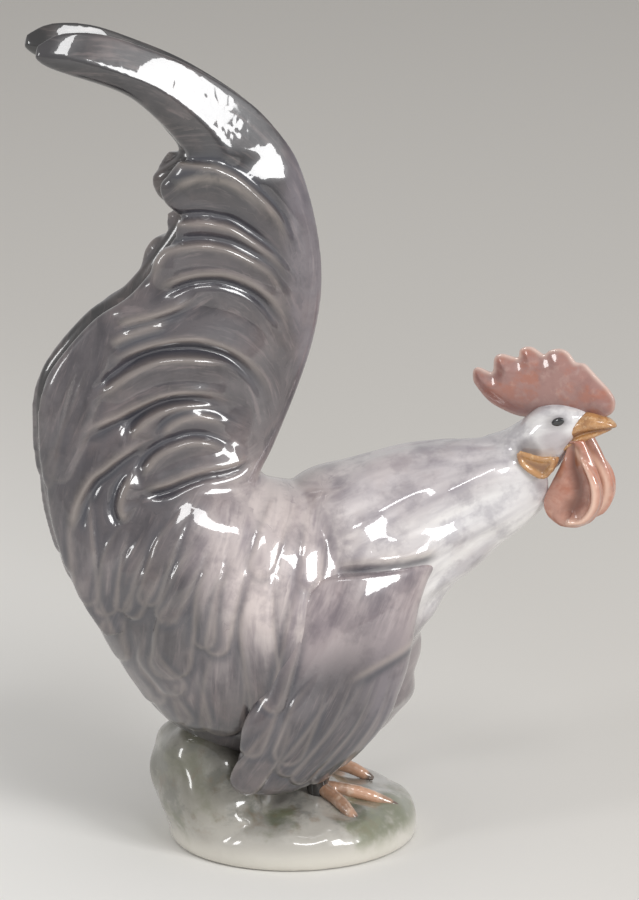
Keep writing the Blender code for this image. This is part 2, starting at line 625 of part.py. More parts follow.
def build_cavity():
    """Inner hollow left by the slip, one wall inside body, rock and base."""
    bm = bmesh.new()
    add_loft(bm, TRUNK[1:-2], inset=WALL)
    add_loft(bm, NECK[:-1], inset=WALL)
    add_stack(bm, ROCK[1:], inset=WALL)
    floor = FOOT_RECESS + WALL
    outline = BASE[4][1:]
    add_stack(bm, [(floor, *outline), (floor + FLOOR_HOLLOW, *outline)], inset=WALL)
    item = to_object("cavity", bm)
    fuse(item, CAVITY_GRAIN, CAVITY_PASSES)
    thin(item, TRIANGLES_INSIDE)
    return item


def thin(item, triangles):
    """Reduce a skin to a number of triangles."""
    bm = bmesh.new()
    bm.from_mesh(item.data)
    bmesh.ops.triangulate(bm, faces=bm.faces)
    bm.to_mesh(item.data)
    bm.free()
    decimate = item.modifiers.new("thin", "DECIMATE")
    decimate.ratio = min(1.0, triangles / len(item.data.polygons))
    apply_modifiers(item)


def cut(item, cutter):
    """Subtract a cutter and remove it."""
    boolean = item.modifiers.new("cut", "BOOLEAN")
    boolean.operation = "DIFFERENCE"
    boolean.solver = "EXACT"
    boolean.object = cutter
    apply_modifiers(item)
    bpy.data.objects.remove(cutter)


def floor_cutter():
    """Block that trims the underside flat at z = 0."""
    bm = bmesh.new()
    matrix = Matrix.Translation((0.0, 0.0, -BLOCK_LENGTH / 2))
    bmesh.ops.create_cube(bm, size=BLOCK_LENGTH, matrix=matrix)
    return to_object("floor", bm)


def recess_cutter():
    """Shallow oval recess inside the foot ring."""
    bm = bmesh.new()
    outline = BASE[1][1:]
    add_stack(bm, [(-CUT_MARGIN, *outline), (FOOT_RECESS, *outline)], inset=FOOT_RING_WIDTH)
    return to_object("recess", bm)


def vent_cutter():
    """Round vent hole from the recess into the hollow."""
    bm = bmesh.new()
    height = FOOT_RECESS + WALL + CUT_MARGIN
    radius = VENT_DIAMETER / 2
    bmesh.ops.create_cone(bm, cap_ends=True, segments=VENT_SIDES, radius1=radius, radius2=radius,
                          depth=height, matrix=Matrix.Translation((VENT_X, 0.0, height / 2)))
    return to_object("vent", bm)


def center(item):
    """Bring the middle of the resting outline to the origin."""
    corners = np.array([vert.co for vert in item.data.vertices])
    low = corners.min(axis=0)
    high = corners.max(axis=0)
    item.data.transform(Matrix.Translation(((-low[0] - high[0]) / 2, (-low[1] - high[1]) / 2, -low[2])))


def porcelain():
    """Pale mauve-grey glazed porcelain."""
    material = bpy.data.materials.new("glazed_porcelain")
    material.use_nodes = True
    shader = material.node_tree.nodes["Principled BSDF"]
    shader.inputs["Base Color"].default_value = (0.42, 0.37, 0.37, 1.0)
    shader.inputs["Roughness"].default_value = 0.12
    return material


def main():
    """Build the figurine as one closed piece."""
    for item in list(bpy.data.objects):
        bpy.data.objects.remove(item)
    parts = [build_plumage(), build_wings(), build_head(), build_legs(), build_base()]
    figurine = join("rooster_figurine", parts)
    fuse(figurine, SURFACE_GRAIN, GLAZE_PASSES)
    thin(figurine, TRIANGLES_OUTSIDE)
    for cutter in (floor_cutter(), build_cavity(), recess_cutter(), vent_cutter()):
        cut(figurine, cutter)
    center(figurine)
    figurine.data.materials.clear()
    figurine.data.materials.append(porcelain())
    figurine.data.shade_smooth()


main()
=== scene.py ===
"""Looks of a glazed porcelain rooster figurine: sculpted skin, painted glaze and plain studio.

The tables are in millimetres in the modelling frame, which has its origin in the middle of the
base, on the table.  The rooster faces +X with its head turned to its right (-Y), and +Z is up.
"""

from __future__ import annotations

import logging
import math
from dataclasses import dataclass
from enum import Enum

import bmesh
import bpy
import numpy as np
from mathutils import Matrix, Vector, noise
from mathutils.kdtree import KDTree


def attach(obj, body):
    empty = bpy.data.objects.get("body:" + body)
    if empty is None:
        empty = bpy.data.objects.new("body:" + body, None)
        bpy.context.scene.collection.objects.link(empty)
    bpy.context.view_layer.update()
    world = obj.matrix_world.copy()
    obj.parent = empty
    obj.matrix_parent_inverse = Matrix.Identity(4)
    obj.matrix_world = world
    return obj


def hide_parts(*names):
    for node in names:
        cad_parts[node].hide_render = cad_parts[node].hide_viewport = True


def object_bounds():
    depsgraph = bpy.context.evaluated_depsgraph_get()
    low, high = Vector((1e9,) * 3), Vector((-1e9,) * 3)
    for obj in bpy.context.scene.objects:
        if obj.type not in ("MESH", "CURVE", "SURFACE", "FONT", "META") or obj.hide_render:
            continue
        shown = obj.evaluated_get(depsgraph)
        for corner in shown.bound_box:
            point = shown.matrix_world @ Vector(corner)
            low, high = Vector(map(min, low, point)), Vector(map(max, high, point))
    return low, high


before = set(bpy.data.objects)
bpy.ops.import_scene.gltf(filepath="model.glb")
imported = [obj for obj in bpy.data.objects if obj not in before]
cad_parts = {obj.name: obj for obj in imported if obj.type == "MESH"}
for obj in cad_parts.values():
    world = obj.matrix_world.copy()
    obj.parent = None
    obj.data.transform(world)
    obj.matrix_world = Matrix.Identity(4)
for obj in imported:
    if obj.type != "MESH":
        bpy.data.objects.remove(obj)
CAD_LOW, CAD_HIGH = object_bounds()

log = logging.getLogger("rooster")

MM = 0.001
NODE = "rooster_figurine"
BODY = "root"
BASE_MIDDLE_X = -11.03
RING_SIDES = 64
LOFT_STEP = 2.0
OUTLINE_STEP = 0.8
COURSE_STEP = 0.6
SMOOTH_FACTOR = 0.5
BOX_MARGIN = 0.02

Row = tuple[float, ...]
Point = tuple[float, float]
Colour = tuple[float, float, float]
Array = np.ndarray
Item = bpy.types.Object
Socket = bpy.types.NodeSocket


class Side(Enum):
    """Which of two mirrored halves a piece belongs to."""

    NEAR = -1.0
    FAR = 1.0


class Overlap(Enum):
    """Which side of a feather edge lies on top, seen walking along the edge."""

    RIGHT = 1.0
    LEFT = -1.0


def smooth_rows(rows: tuple[Row, ...] | list[Row], step: float) -> Array:
    """Pass a smooth curve through table rows.

    Args:
        rows: Numbers that change together from row to row.
        step: Rough distance between the returned rows, in millimetres.

    Returns:
        Closely spaced rows, the given ones among them.
    """
    table = np.array(rows, dtype=float)
    padded = np.vstack([2 * table[0] - table[1], table, 2 * table[-1] - table[-2]])
    result = []
    for index in range(len(table) - 1):
        before, start, end, after = padded[index:index + 4]
        count = max(2, int(np.linalg.norm((end - start)[:4]) / 2 / step) + 1)
        for t in np.arange(count) / count:
            bend = (2 * before - 5 * start + 4 * end - after) * t * t
            ease = (3 * start - before - 3 * end + after) * t ** 3
            result.append(start + 0.5 * ((end - before) * t + bend + ease))
    result.append(table[-1])
    return np.array(result)


def ramp(values: Array, low: float, high: float) -> Array:
    """Rise smoothly from 0 at low to 1 at high."""
    t = np.clip((values - low) / (high - low), 0.0, 1.0)
    return t * t * (3 - 2 * t)


def hill(values: Array, middle: float, width: float) -> Array:
    """Return a soft bump of height 1 around a middle."""
    return np.exp(-(((values - middle) / width) ** 2))


def closed(outline: tuple[Point, ...]) -> tuple[Point, ...]:
    """Repeat an outline's first corner at its end."""
    return (*outline, outline[0])


def linear(red: int, green: int, blue: int) -> Colour:
    """Turn a colour as seen on a screen into the linear one that shaders use."""
    def channel(value: int) -> float:
        share = value / 255
        return share / 12.92 if share <= 0.04045 else ((share + 0.055) / 1.055) ** 2.4
    return channel(red), channel(green), channel(blue)


class Clay:
    """Soft solids that are put together in one bmesh, in millimetres."""

    def __init__(self) -> None:
        """Start with nothing."""
        self.bm = bmesh.new()

    def ring(self, matrix: Matrix, capped: bool) -> list[bmesh.types.BMEdge]:
        """Add one round section.

        Args:
            matrix: Places and stretches a circle of radius 1.
            capped: Whether the circle is filled.

        Returns:
            The edges of the section.
        """
        made = bmesh.ops.create_circle(
            self.bm, cap_ends=capped, segments=RING_SIDES, radius=1.0, matrix=matrix
        )
        return list({edge for vert in made["verts"] for edge in vert.link_edges})

    def bridge(self, rings: list[list[bmesh.types.BMEdge]]) -> None:
        """Join consecutive sections with quads."""
        for lower, upper in zip(rings, rings[1:]):
            bmesh.ops.bridge_loops(self.bm, edges=lower + upper)

    def loft(self, rows: tuple[Row, ...], side: float = 1.0,
             place: Matrix = Matrix.Identity(4)) -> None:
        """Loft elliptical sections given by their front and rear edges in side view.

        Args:
            rows: Front x, front z, rear x, rear z and half width of each section, and its front y
                and rear y where they aren't 0.
            side: 1 for +Y or -1 for the mirror image.
            place: Where the loft goes.
        """
        table = smooth_rows([(*row, 0.0, 0.0)[:7] for row in rows], LOFT_STEP)
        rings = []
        for number, row in enumerate(table):
            front = Vector((row[0], row[5] * side, row[1]))
            rear = Vector((row[2], row[6] * side, row[3]))
            along = (front - rear) / 2
            middle = (front + rear) / 2
            matrix = Matrix((
                (along.x, 0.0, 0.0, middle.x),
                (along.y, row[4], 0.0, middle.y),
                (along.z, 0.0, 1.0, middle.z),
                (0.0, 0.0, 0.0, 1.0),
            ))
            rings.append(self.ring(place @ matrix, number in (0, len(table) - 1)))
        self.bridge(rings)

    def pair(self, rows: tuple[Row, ...]) -> None:
        """Loft the same sections on both sides."""
        for side in Side:
            self.loft(rows, side.value)

    def stack(self, rows: tuple[Row, ...]) -> None:
        """Stack level ovals given by height, middle x, middle y, half length and half depth."""
        table = smooth_rows(rows, LOFT_STEP)
        rings = []
        for number, (height, x, y, half_x, half_y) in enumerate(table):
            size = Matrix.Diagonal((half_x, half_y, 1.0, 1.0))
            matrix = Matrix.Translation((x, y, height)) @ size
            rings.append(self.ring(matrix, number in (0, len(table) - 1)))
        self.bridge(rings)

    def tube(self, points: list[Vector], radii: list[float],
             place: Matrix = Matrix.Identity(4)) -> None:
        """Sweep a round section along a line of points.

        Args:
            points: The middle line.
            radii: The radius at each point.
            place: Where the tube goes.
        """
        rings = []
        for index, (point, radius) in enumerate(zip(points, radii)):
            before = points[max(index - 1, 0)]
            after = points[min(index + 1, len(points) - 1)]
            turn = (after - before).to_track_quat("Z", "X").to_matrix().to_4x4()
            matrix = Matrix.Translation(point) @ turn @ Matrix.Diagonal((radius, radius, 1.0, 1.0))
            rings.append(self.ring(place @ matrix, index in (0, len(points) - 1)))
        self.bridge(rings)

    def ball(self, middle: Vector, radii: Vector, place: Matrix = Matrix.Identity(4)) -> None:
        """Add an ellipsoid."""
        matrix = place @ Matrix.Translation(middle) @ Matrix.Diagonal((*radii, 1.0))
        bmesh.ops.create_icosphere(self.bm, subdivisions=4, radius=1.0, matrix=matrix)

    def plate(self, outline: tuple[Point, ...], thickness: float, place: Matrix) -> None:
        """Extrude an upright outline into a plate.

        Args:
            outline: Corners as forward and up distances.
            thickness: Full thickness.
            place: Where the plate goes.
        """
        curve = smooth_rows(closed(outline), OUTLINE_STEP)[:-1]
        corners = [self.bm.verts.new(place @ Vector((u, -thickness / 2, w))) for u, w in curve]
        face = self.bm.faces.new(corners)
        made = bmesh.ops.extrude_face_region(self.bm, geom=[face])
        moved = [item for item in made["geom"] if isinstance(item, bmesh.types.BMVert)]
        shift = place.to_3x3() @ Vector((0.0, thickness, 0.0))
        bmesh.ops.translate(self.bm, verts=moved, vec=shift)

    def finish(self, name: str, grain: float = 0.0, passes: int = 0) -> Item:
        """Turn the solids into an object in metres, still in the modelling frame.

        Args:
            name: The object's name.
            grain: Size of the quads of the skin that they melt into, 0 to leave them apart.
            passes: How often that skin is smoothed.

        Returns:
            The new object, linked to the scene.
        """
        bmesh.ops.recalc_face_normals(self.bm, faces=self.bm.faces)
        bmesh.ops.scale(self.bm, vec=(MM, MM, MM), verts=self.bm.verts)
        mesh = bpy.data.meshes.new(name)
        self.bm.to_mesh(mesh)
        self.bm.free()
        item = bpy.data.objects.new(name, mesh)
        bpy.context.scene.collection.objects.link(item)
        if grain:
            melt(item, grain, passes)
        return item


def apply_modifiers(item: Item) -> None:
    """Replace an object's mesh with the result of its modifiers."""
    bpy.context.view_layer.update()
    shown = item.evaluated_get(bpy.context.evaluated_depsgraph_get())
    item.data = bpy.data.meshes.new_from_object(shown)
    item.modifiers.clear()


def melt(item: Item, grain: float, passes: int) -> None:
    """Melt overlapping solids into one closed skin.

    Args:
        item: The object.
        grain: Size of the skin's quads in millimetres.
        passes: How often the skin is smoothed.
    """
    remesh = item.modifiers.new("melt", "REMESH")
    remesh.mode = "VOXEL"
    remesh.voxel_size = grain * MM
    soften(item, passes)


def soften(item: Item, passes: int) -> None:
    """Smooth a skin a little and apply its modifiers."""
    modifier = item.modifiers.new("soften", "SMOOTH")
    modifier.factor = SMOOTH_FACTOR
    modifier.iterations = passes
    apply_modifiers(item)


def lighten(item: Item, triangles: int) -> None:
    """Take triangles out of the calm stretches of a skin."""
    item.data.calc_loop_triangles()
    share = triangles / len(item.data.loop_triangles)
    if share < 1.0:
        thin = item.modifiers.new("lighten", "DECIMATE")
        thin.ratio = share
        apply_modifiers(item)


def read_points(mesh: bpy.types.Mesh) -> tuple[Array, Array]:
    """Read a mesh's points in millimetres and their normals."""
    count = len(mesh.vertices)
    places = np.empty(count * 3)
    normals = np.empty(count * 3)
    mesh.vertices.foreach_get("co", places)
    mesh.vertices.foreach_get("normal", normals)
    return places.reshape(-1, 3) / MM, normals.reshape(-1, 3)


def write_points(mesh: bpy.types.Mesh, places: Array) -> None:
    """Write a mesh's points, given in millimetres."""
    mesh.vertices.foreach_set("co", (places * MM).ravel())
    mesh.update()


class Course:
    """A smooth line in side view, from which distances are measured."""

    def __init__(self, points: tuple[Point, ...] | list[Point]) -> None:
        """Smooth the line through its points."""
        self.line = smooth_rows(points, COURSE_STEP)
        self.steps = np.diff(self.line, axis=0)
        self.lengths = np.linalg.norm(self.steps, axis=1)
        self.starts = np.concatenate([[0.0], np.cumsum(self.lengths)])

    def near(self, flat: Array, reach: float) -> Array:
        """Return the numbers of the points within reach of the line's box."""
        low = self.line.min(axis=0) - reach
        high = self.line.max(axis=0) + reach
        return np.nonzero(np.all((flat > low) & (flat < high), axis=1))[0]

    def measure(self, flat: Array) -> tuple[Array, Array]:
        """Measure points against the line.

        Args:
            flat: Points as x and z.

        Returns:
            The distance, positive on the right hand, and the length along the line.
        """
        best = np.full(len(flat), np.inf)
        along_line = np.zeros(len(flat))
        sign = np.ones(len(flat))
        for index, length in enumerate(self.lengths):
            along = self.steps[index] / length
            offset = flat - self.line[index]
            t = np.clip(offset @ along, 0.0, length)
            away = offset - t[:, None] * along
            distance = np.hypot(away[:, 0], away[:, 1])
            nearer = distance < best
            best[nearer] = distance[nearer]
            along_line[nearer] = self.starts[index] + t[nearer]
            cross = along[0] * away[:, 1] - along[1] * away[:, 0]
            sign[nearer] = np.where(cross[nearer] > 0, -1.0, 1.0)
        return best * sign, along_line

    @property
    def length(self) -> float:
        """Whole length of the line."""
        return float(self.starts[-1])


class Surface:
    """Relief and paint masks of a skin while its feathers are laid on."""

    def __init__(self, flat: Array) -> None:
        """Start with a bare skin, given as points in side view."""
        self.flat = flat
        self.relief = np.zeros(len(flat))
        self.detail = np.zeros(len(flat))
        # The crease mask is painted shade in grooves and under covering edges; the rim mask is pale
        # feather edges, partly painted highlight.
        self.crease = np.zeros(len(flat))
        self.rim = np.zeros(len(flat))

    def put(self, mask: Array, chosen: Array, values: Array) -> None:
        """Keep the larger of a mask and new values at the chosen points."""
        mask[chosen] = np.maximum(mask[chosen], values)

    def keep(self, item: Item, flow: Array, colours: Array, bold: Array) -> None:
        """Store what the paint needs on the skin.

        Args:
            item: The skin.
            flow: Distance across, length along and number of the nearest feather for each point.
            colours: The washes' colour at each point.
            bold: Strength of the streaks at each point.
        """
        calm_seams(item, flow, bold)
        store(item, "flow", "FLOAT_VECTOR", flow)
        store(item, "paint", "FLOAT_COLOR", colours)
        for name, mask in (("crease", self.crease), ("rim", self.rim), ("bold", bold)):
            store(item, name, "FLOAT", mask)


@dataclass(frozen=True)
class FeatherEdge:
    """A feather's edge, standing proud of the feather that it covers.

    The groove, the dark line of painted shade and the glint, a painted highlight, each have a
    distance from the edge, positive on the feather, and a width.  The shadow is how far the painted
    shadow reaches over the covered feather.
    """

    points: tuple[Point, ...]
    height: float = 3.4
    reach: float = 13.0
    overlap: Overlap = Overlap.RIGHT
    tip_fade: float = 0.16
    root_fade: float = 0.35
    depth: float = 1.1
    shadow: float = 8.0
    shadow_share: float = 0.5
    rise: Point = (-1.1, 1.9)
    slope: float = 1.1
    groove: Point = (-1.6, 1.3)
    edge_shading: Point = (-1.4, 1.7)
    glint: Point = (1.4, 1.3)
    glint_share: float = 0.9

    def lay(self, surface: Surface) -> None:
        """Raise this feather on a surface."""
        course = Course(self.points)
        chosen = course.near(surface.flat, max(self.reach, self.shadow))
        if not len(chosen):
            return
        distance, along = course.measure(surface.flat[chosen])
        distance = distance * self.overlap.value
        place = along / course.length
        fade = ramp(place, 0.0, self.tip_fade) * ramp(1 - place, 0.0, self.root_fade)
        back = (1 - np.clip(distance / self.reach, 0.0, 1.0)) ** self.slope
        surface.put(surface.relief, chosen, self.height * ramp(distance, *self.rise) * back * fade)
        surface.detail[chosen] -= self.depth * hill(distance, *self.groove) * fade
        # Painted shadow over the covered feather and a line of painted shade in the groove under
        # the edge.
        under = self.shadow_share * (1 - ramp(-distance, 0.0, self.shadow)) * (distance < 0.0)
        dark = np.maximum(hill(distance, *self.edge_shading), under)
        surface.put(surface.crease, chosen, dark * fade)
        # Painted highlight along the edge of the covering feather.
        surface.put(surface.rim, chosen, self.glint_share * hill(distance, *self.glint) * fade)


@dataclass(frozen=True)
class Strand:
    """A narrow feather that grows out of the skin toward its round tip.

    The groove, a line of painted shade, and the glint, a painted highlight, each have a distance
    from the feather's side, positive outside it, and a width; one strength scales both.
    """

    points: tuple[Point, ...]
    half_width: float
    height: float = 2.0
    slim: float = 0.45
    edge_shading: float = 1.0
    margin: float = 3.0
    roundness: float = 2.4
    full_width_at: float = 0.6
    full_height_at: float = 0.7
    groove: Point = (0.6, 1.3)
    groove_share: float = 0.75
    glint: Point = (-1.0, 0.8)
    glint_share: float = 0.5

    def lay(self, surface: Surface) -> None:
        """Raise this feather on a surface."""
        course = Course(self.points)
        chosen = course.near(surface.flat, self.half_width + self.margin)
        if not len(chosen):
            return
        distance, along = course.measure(surface.flat[chosen])
        place = along / course.length
        width = self.slim + (1 - self.slim) * ramp(place, 0.0, self.full_width_at)
        half = self.half_width * width
        ridge = np.sqrt(np.clip(1 - (np.abs(distance) / half) ** self.roundness, 0.0, 1.0))
        grown = ramp(place, 0.0, self.full_height_at)
        surface.put(surface.relief, chosen, self.height * ridge * grown)
        gap = np.abs(distance) - half
        # Painted shade in the groove beside the strand and a painted highlight along its side.
        dark = self.groove_share * self.edge_shading * hill(gap, *self.groove)
        light = self.glint_share * self.edge_shading * hill(gap, *self.glint)
        surface.put(surface.crease, chosen, dark * grown)
        surface.put(surface.rim, chosen, light * grown)


@dataclass(frozen=True)
class Barbs:
    """Fine lines along the nearest feather, carved and used by the paint."""

    courses: tuple[tuple[Point, ...], ...]
    spacing: float = 3.0
    height: float = 0.018
    wander: float = 1.2
    wander_rate: float = 0.09
    feather_shift: float = 1.7
    swing: float = 0.4
    swing_rate: float = 0.05

    def lay(self, surface: Surface) -> Array:
        """Carve the lines and measure the skin along its feathers.

        Args:
            surface: The skin to carve.

        Returns:
            Distance across, length along and number of the nearest feather for each point.
        """
        lines = [Course(points) for points in self.courses]
        tree = KDTree(sum(len(line.lengths) for line in lines))
        samples = []
        for number, line in enumerate(lines):
            for index, length in enumerate(line.lengths):
                x, z = line.line[index]
                tree.insert((x, z, 0.0), len(samples))
                samples.append((x, z, *(line.steps[index] / length), line.starts[index], number))
        tree.balance()
        nearest = np.array([tree.find((x, z, 0.0))[1] for x, z in surface.flat])
        chosen = np.array(samples)[nearest]
        offset = surface.flat - chosen[:, :2]
        across = chosen[:, 2] * offset[:, 1] - chosen[:, 3] * offset[:, 0]
        along = chosen[:, 4] + chosen[:, 2] * offset[:, 0] + chosen[:, 3] * offset[:, 1]
        number = chosen[:, 5]
        wander = np.sin(along * self.wander_rate + number * self.feather_shift) * self.wander
        phase = (across + wander) * 2 * math.pi / self.spacing
        swing = 1 - self.swing + self.swing * np.sin(along * self.swing_rate + number)
        surface.detail += self.height * np.sin(phase) * swing
        return np.column_stack([across, along, number])


def carve(item: Item, surface: Surface, normals: Array, places: Array) -> None:
    """Push a skin out by its relief, wherever it faces sideways.

    Args:
        item: The object.
        surface: Its relief in millimetres.
        normals: The skin's normals.
        places: The skin's points in millimetres.
    """
    outward = ramp(normals[:, 1] * np.sign(places[:, 1]), -0.1, 0.35)
    push = (surface.relief + surface.detail) * outward
    write_points(item.data, places + normals * push[:, None])
    surface.crease *= outward
    surface.rim *= outward


def store(item: Item, name: str, kind: str, values: Array) -> None:
    """Keep values on a mesh's points.

    Args:
        item: The object.
        name: The attribute's name.
        kind: FLOAT, FLOAT_VECTOR or FLOAT_COLOR.
        values: One row for each point.
    """
    attribute = item.data.attributes.new(name, kind, "POINT")
    if kind == "FLOAT_COLOR":
        values = np.column_stack([values, np.ones(len(values))])
    key = {"FLOAT": "value", "FLOAT_VECTOR": "vector", "FLOAT_COLOR": "color"}[kind]
    attribute.data.foreach_set(key, np.ascontiguousarray(values, dtype=np.float32).ravel())


def calm_seams(item: Item, flow: Array, bold: Array) -> None:
    """Fade the streaks out where one feather's lines meet those of the next.

    Args:
        item: The skin.
        flow: Distance across, length along and number of the nearest feather for each point.
        bold: Strength of the streaks at each point, changed in place.
    """
    pairs = np.empty(len(item.data.edges) * 2, dtype=np.int64)
    item.data.edges.foreach_get("vertices", pairs)
    start, end = pairs.reshape(-1, 2).T
    seam = flow[start, 2] != flow[end, 2]
    bold[start[seam]] = 0.0
    bold[end[seam]] = 0.0
    size = len(bold)
    count = np.bincount(start, minlength=size) + np.bincount(end, minlength=size)
    for _ in range(3):
        total = np.bincount(start, bold[end], size) + np.bincount(end, bold[start], size)
        bold[:] = np.minimum(bold, total / np.maximum(count, 1))


@dataclass(frozen=True)
class Wash:
    """A soft patch of colour in side view; most are underglaze paint, a few painted shade."""

    colour: Colour
    middle: Point
    reach: Point
    turn: float = 0.0
    strength: float = 1.0

    def brush(self, flat: Array, colours: Array) -> None:
        """Blend this patch into the colours of the points."""
        angle = math.radians(self.turn)
        offset = flat - np.array(self.middle)
        u = offset[:, 0] * math.cos(angle) + offset[:, 1] * math.sin(angle)
        w = offset[:, 1] * math.cos(angle) - offset[:, 0] * math.sin(angle)
        far = np.hypot(u / self.reach[0], w / self.reach[1])
        share = (self.strength * (1 - ramp(far, 0.45, 1.0)))[:, None]
        colours[:] = colours * (1 - share) + np.array(self.colour) * share


def lay_washes(flat: Array, ground: Colour, washes: tuple[Wash, ...]) -> Array:
    """Brush washes over a ground colour.

    Args:
        flat: The skin's points in side view.
        ground: The colour under the washes.
        washes: The patches, in the order in which they are laid.

    Returns:
        A colour for each point.
    """
    colours = np.tile(np.array(ground), (len(flat), 1))
    for wash in washes:
        wash.brush(flat, colours)
    return colours


MAUVE = linear(78, 73, 77)
SMOKE = linear(34, 33, 38)
LILAC = linear(124, 117, 124)
BLUSH = linear(206, 194, 191)
PEARL = linear(214, 208, 206)
WHITE = linear(238, 236, 234)
STONE = linear(126, 118, 119)
DUSK = linear(80, 76, 78)
SLATE = linear(92, 87, 91)
# Painted shade at the foot of the thighs.
THIGH_SHADE = linear(30, 27, 26)
ROSE = linear(184, 171, 171)
MIST = linear(200, 193, 194)


@dataclass(frozen=True)
class Cloud:
    """A noise pattern and how the colour on it comes in.

    The edge holds the noise values where the colour begins and where it reaches its share.
    """

    scale: float
    edge: Point
    share: float
    detail: float = 4.0
    rough: float = 0.6
    stretch: Row = (1.0, 1.0, 1.0)


class Nodes:
    """Short way to add shader nodes to a material."""

    def __init__(self, name: str) -> None:
        """Make a material with its Principled shader."""
        self.material = bpy.data.materials.new(name)
        self.material.use_nodes = True
        self.tree = self.material.node_tree
        self.shader = self.tree.nodes["Principled BSDF"]

    def add(self, kind: str, **values: object) -> bpy.types.Node:
        """Add a node, with properties or input values by name.

        Args:
            kind: The node's type, without its ShaderNode prefix.
            **values: Properties of the node, or inputs where the node has no such property.

        Returns:
            The node.
        """
        node = self.tree.nodes.new("ShaderNode" + kind)
        for key, value in values.items():
            if hasattr(node, key):
                setattr(node, key, value)
            else:
                node.inputs[key.replace("_", " ").title()].default_value = value
        return node

    def link(self, source: Socket, target: Socket) -> None:
        """Join two sockets."""
        self.tree.links.new(source, target)

    def attribute(self, name: str) -> bpy.types.Node:
        """Read a value that the mesh carries."""
        return self.add("Attribute", attribute_name=name)

    def pattern(self, cloud: Cloud, place: Socket, factor: float = 1.0) -> Socket:
        """Return a cloud's noise on the given coordinates, its scale times a factor."""
        mapping = self.add("Mapping")
        mapping.inputs["Scale"].default_value = cloud.stretch
        self.link(place, mapping.inputs["Vector"])
        node = self.add("TexNoise", scale=cloud.scale * factor, detail=cloud.detail,
                        roughness=cloud.rough)
        self.link(mapping.outputs["Vector"], node.inputs["Vector"])
        return node.outputs["Fac"]

    def cover(self, cloud: Cloud, place: Socket, factor: float = 1.0) -> Socket:
        """Return how much of a cloud's colour shows on the given coordinates."""
        return self.span(self.pattern(cloud, place, factor), *cloud.edge, 0.0, cloud.share)

    def span(self, value: Socket, low: float, high: float, to_low: float = 0.0,
             to_high: float = 1.0) -> Socket:
        """Map one range of a value onto another, smoothly and clamped."""
        node = self.add("MapRange", interpolation_type="SMOOTHSTEP")
        for socket, number in zip(node.inputs[1:5], (low, high, to_low, to_high)):
            socket.default_value = number
        self.link(value, node.inputs[0])
        return node.outputs[0]

    def times(self, first: Socket, second: Socket | float) -> Socket:
        """Multiply two values."""
        node = self.add("Math", operation="MULTIPLY")
        self.link(first, node.inputs[0])
        if isinstance(second, float):
            node.inputs[1].default_value = second
        else:
            self.link(second, node.inputs[1])
        return node.outputs[0]

    def toward(self, value: Socket, middle: float, share: Socket) -> Socket:
        """Draw a value toward its middle where the share is low.

        Args:
            value: The value.
            middle: What it becomes where the share is 0.
            share: How much of the value is kept, 0 to 1.

        Returns:
            The value node's output.
        """
        node = self.add("MapRange")
        node.inputs[3].default_value = middle
        self.link(share, node.inputs[0])
        self.link(value, node.inputs[4])
        return node.outputs[0]

    def mix(self, share: Socket, first: Socket | Colour, second: Socket | Colour,
            blend: str = "MIX") -> Socket:
        """Blend two colours.

        Args:
            share: How much of the second colour shows.
            first: A colour or a socket.
            second: A colour or a socket.
            blend: The way they mix.

        Returns:
            The blended colour.
        """
        node = self.add("Mix", data_type="RGBA", blend_type=blend)
        self.link(share, node.inputs[0])
        for socket, value in ((node.inputs[6], first), (node.inputs[7], second)):
            if isinstance(value, tuple):
                socket.default_value = (*value, 1.0)
            else:
                self.link(value, socket)
        return node.outputs[2]

    def bump(self, height: Socket, distance: float, strength: float) -> None:
        """Add fine unevenness to the shader's normal."""
        node = self.add("Bump", strength=strength, distance=distance)
        self.link(height, node.inputs["Height"])
        self.link(node.outputs["Normal"], self.shader.inputs["Normal"])

    def glaze(self, colour: Socket, roughness: float, coat: float) -> None:
        """Set the shader up as coloured ware under a clear glaze.

        Args:
            colour: The painted colour.
            roughness: Roughness of the ware.
            coat: Roughness of the clear glaze on it.
        """
        self.link(colour, self.shader.inputs["Base Color"])
        self.shader.inputs["Roughness"].default_value = roughness
        self.shader.inputs["Coat Weight"].default_value = 1.0
        self.shader.inputs["Coat Roughness"].default_value = coat
        self.shader.inputs["Coat IOR"].default_value = 1.65


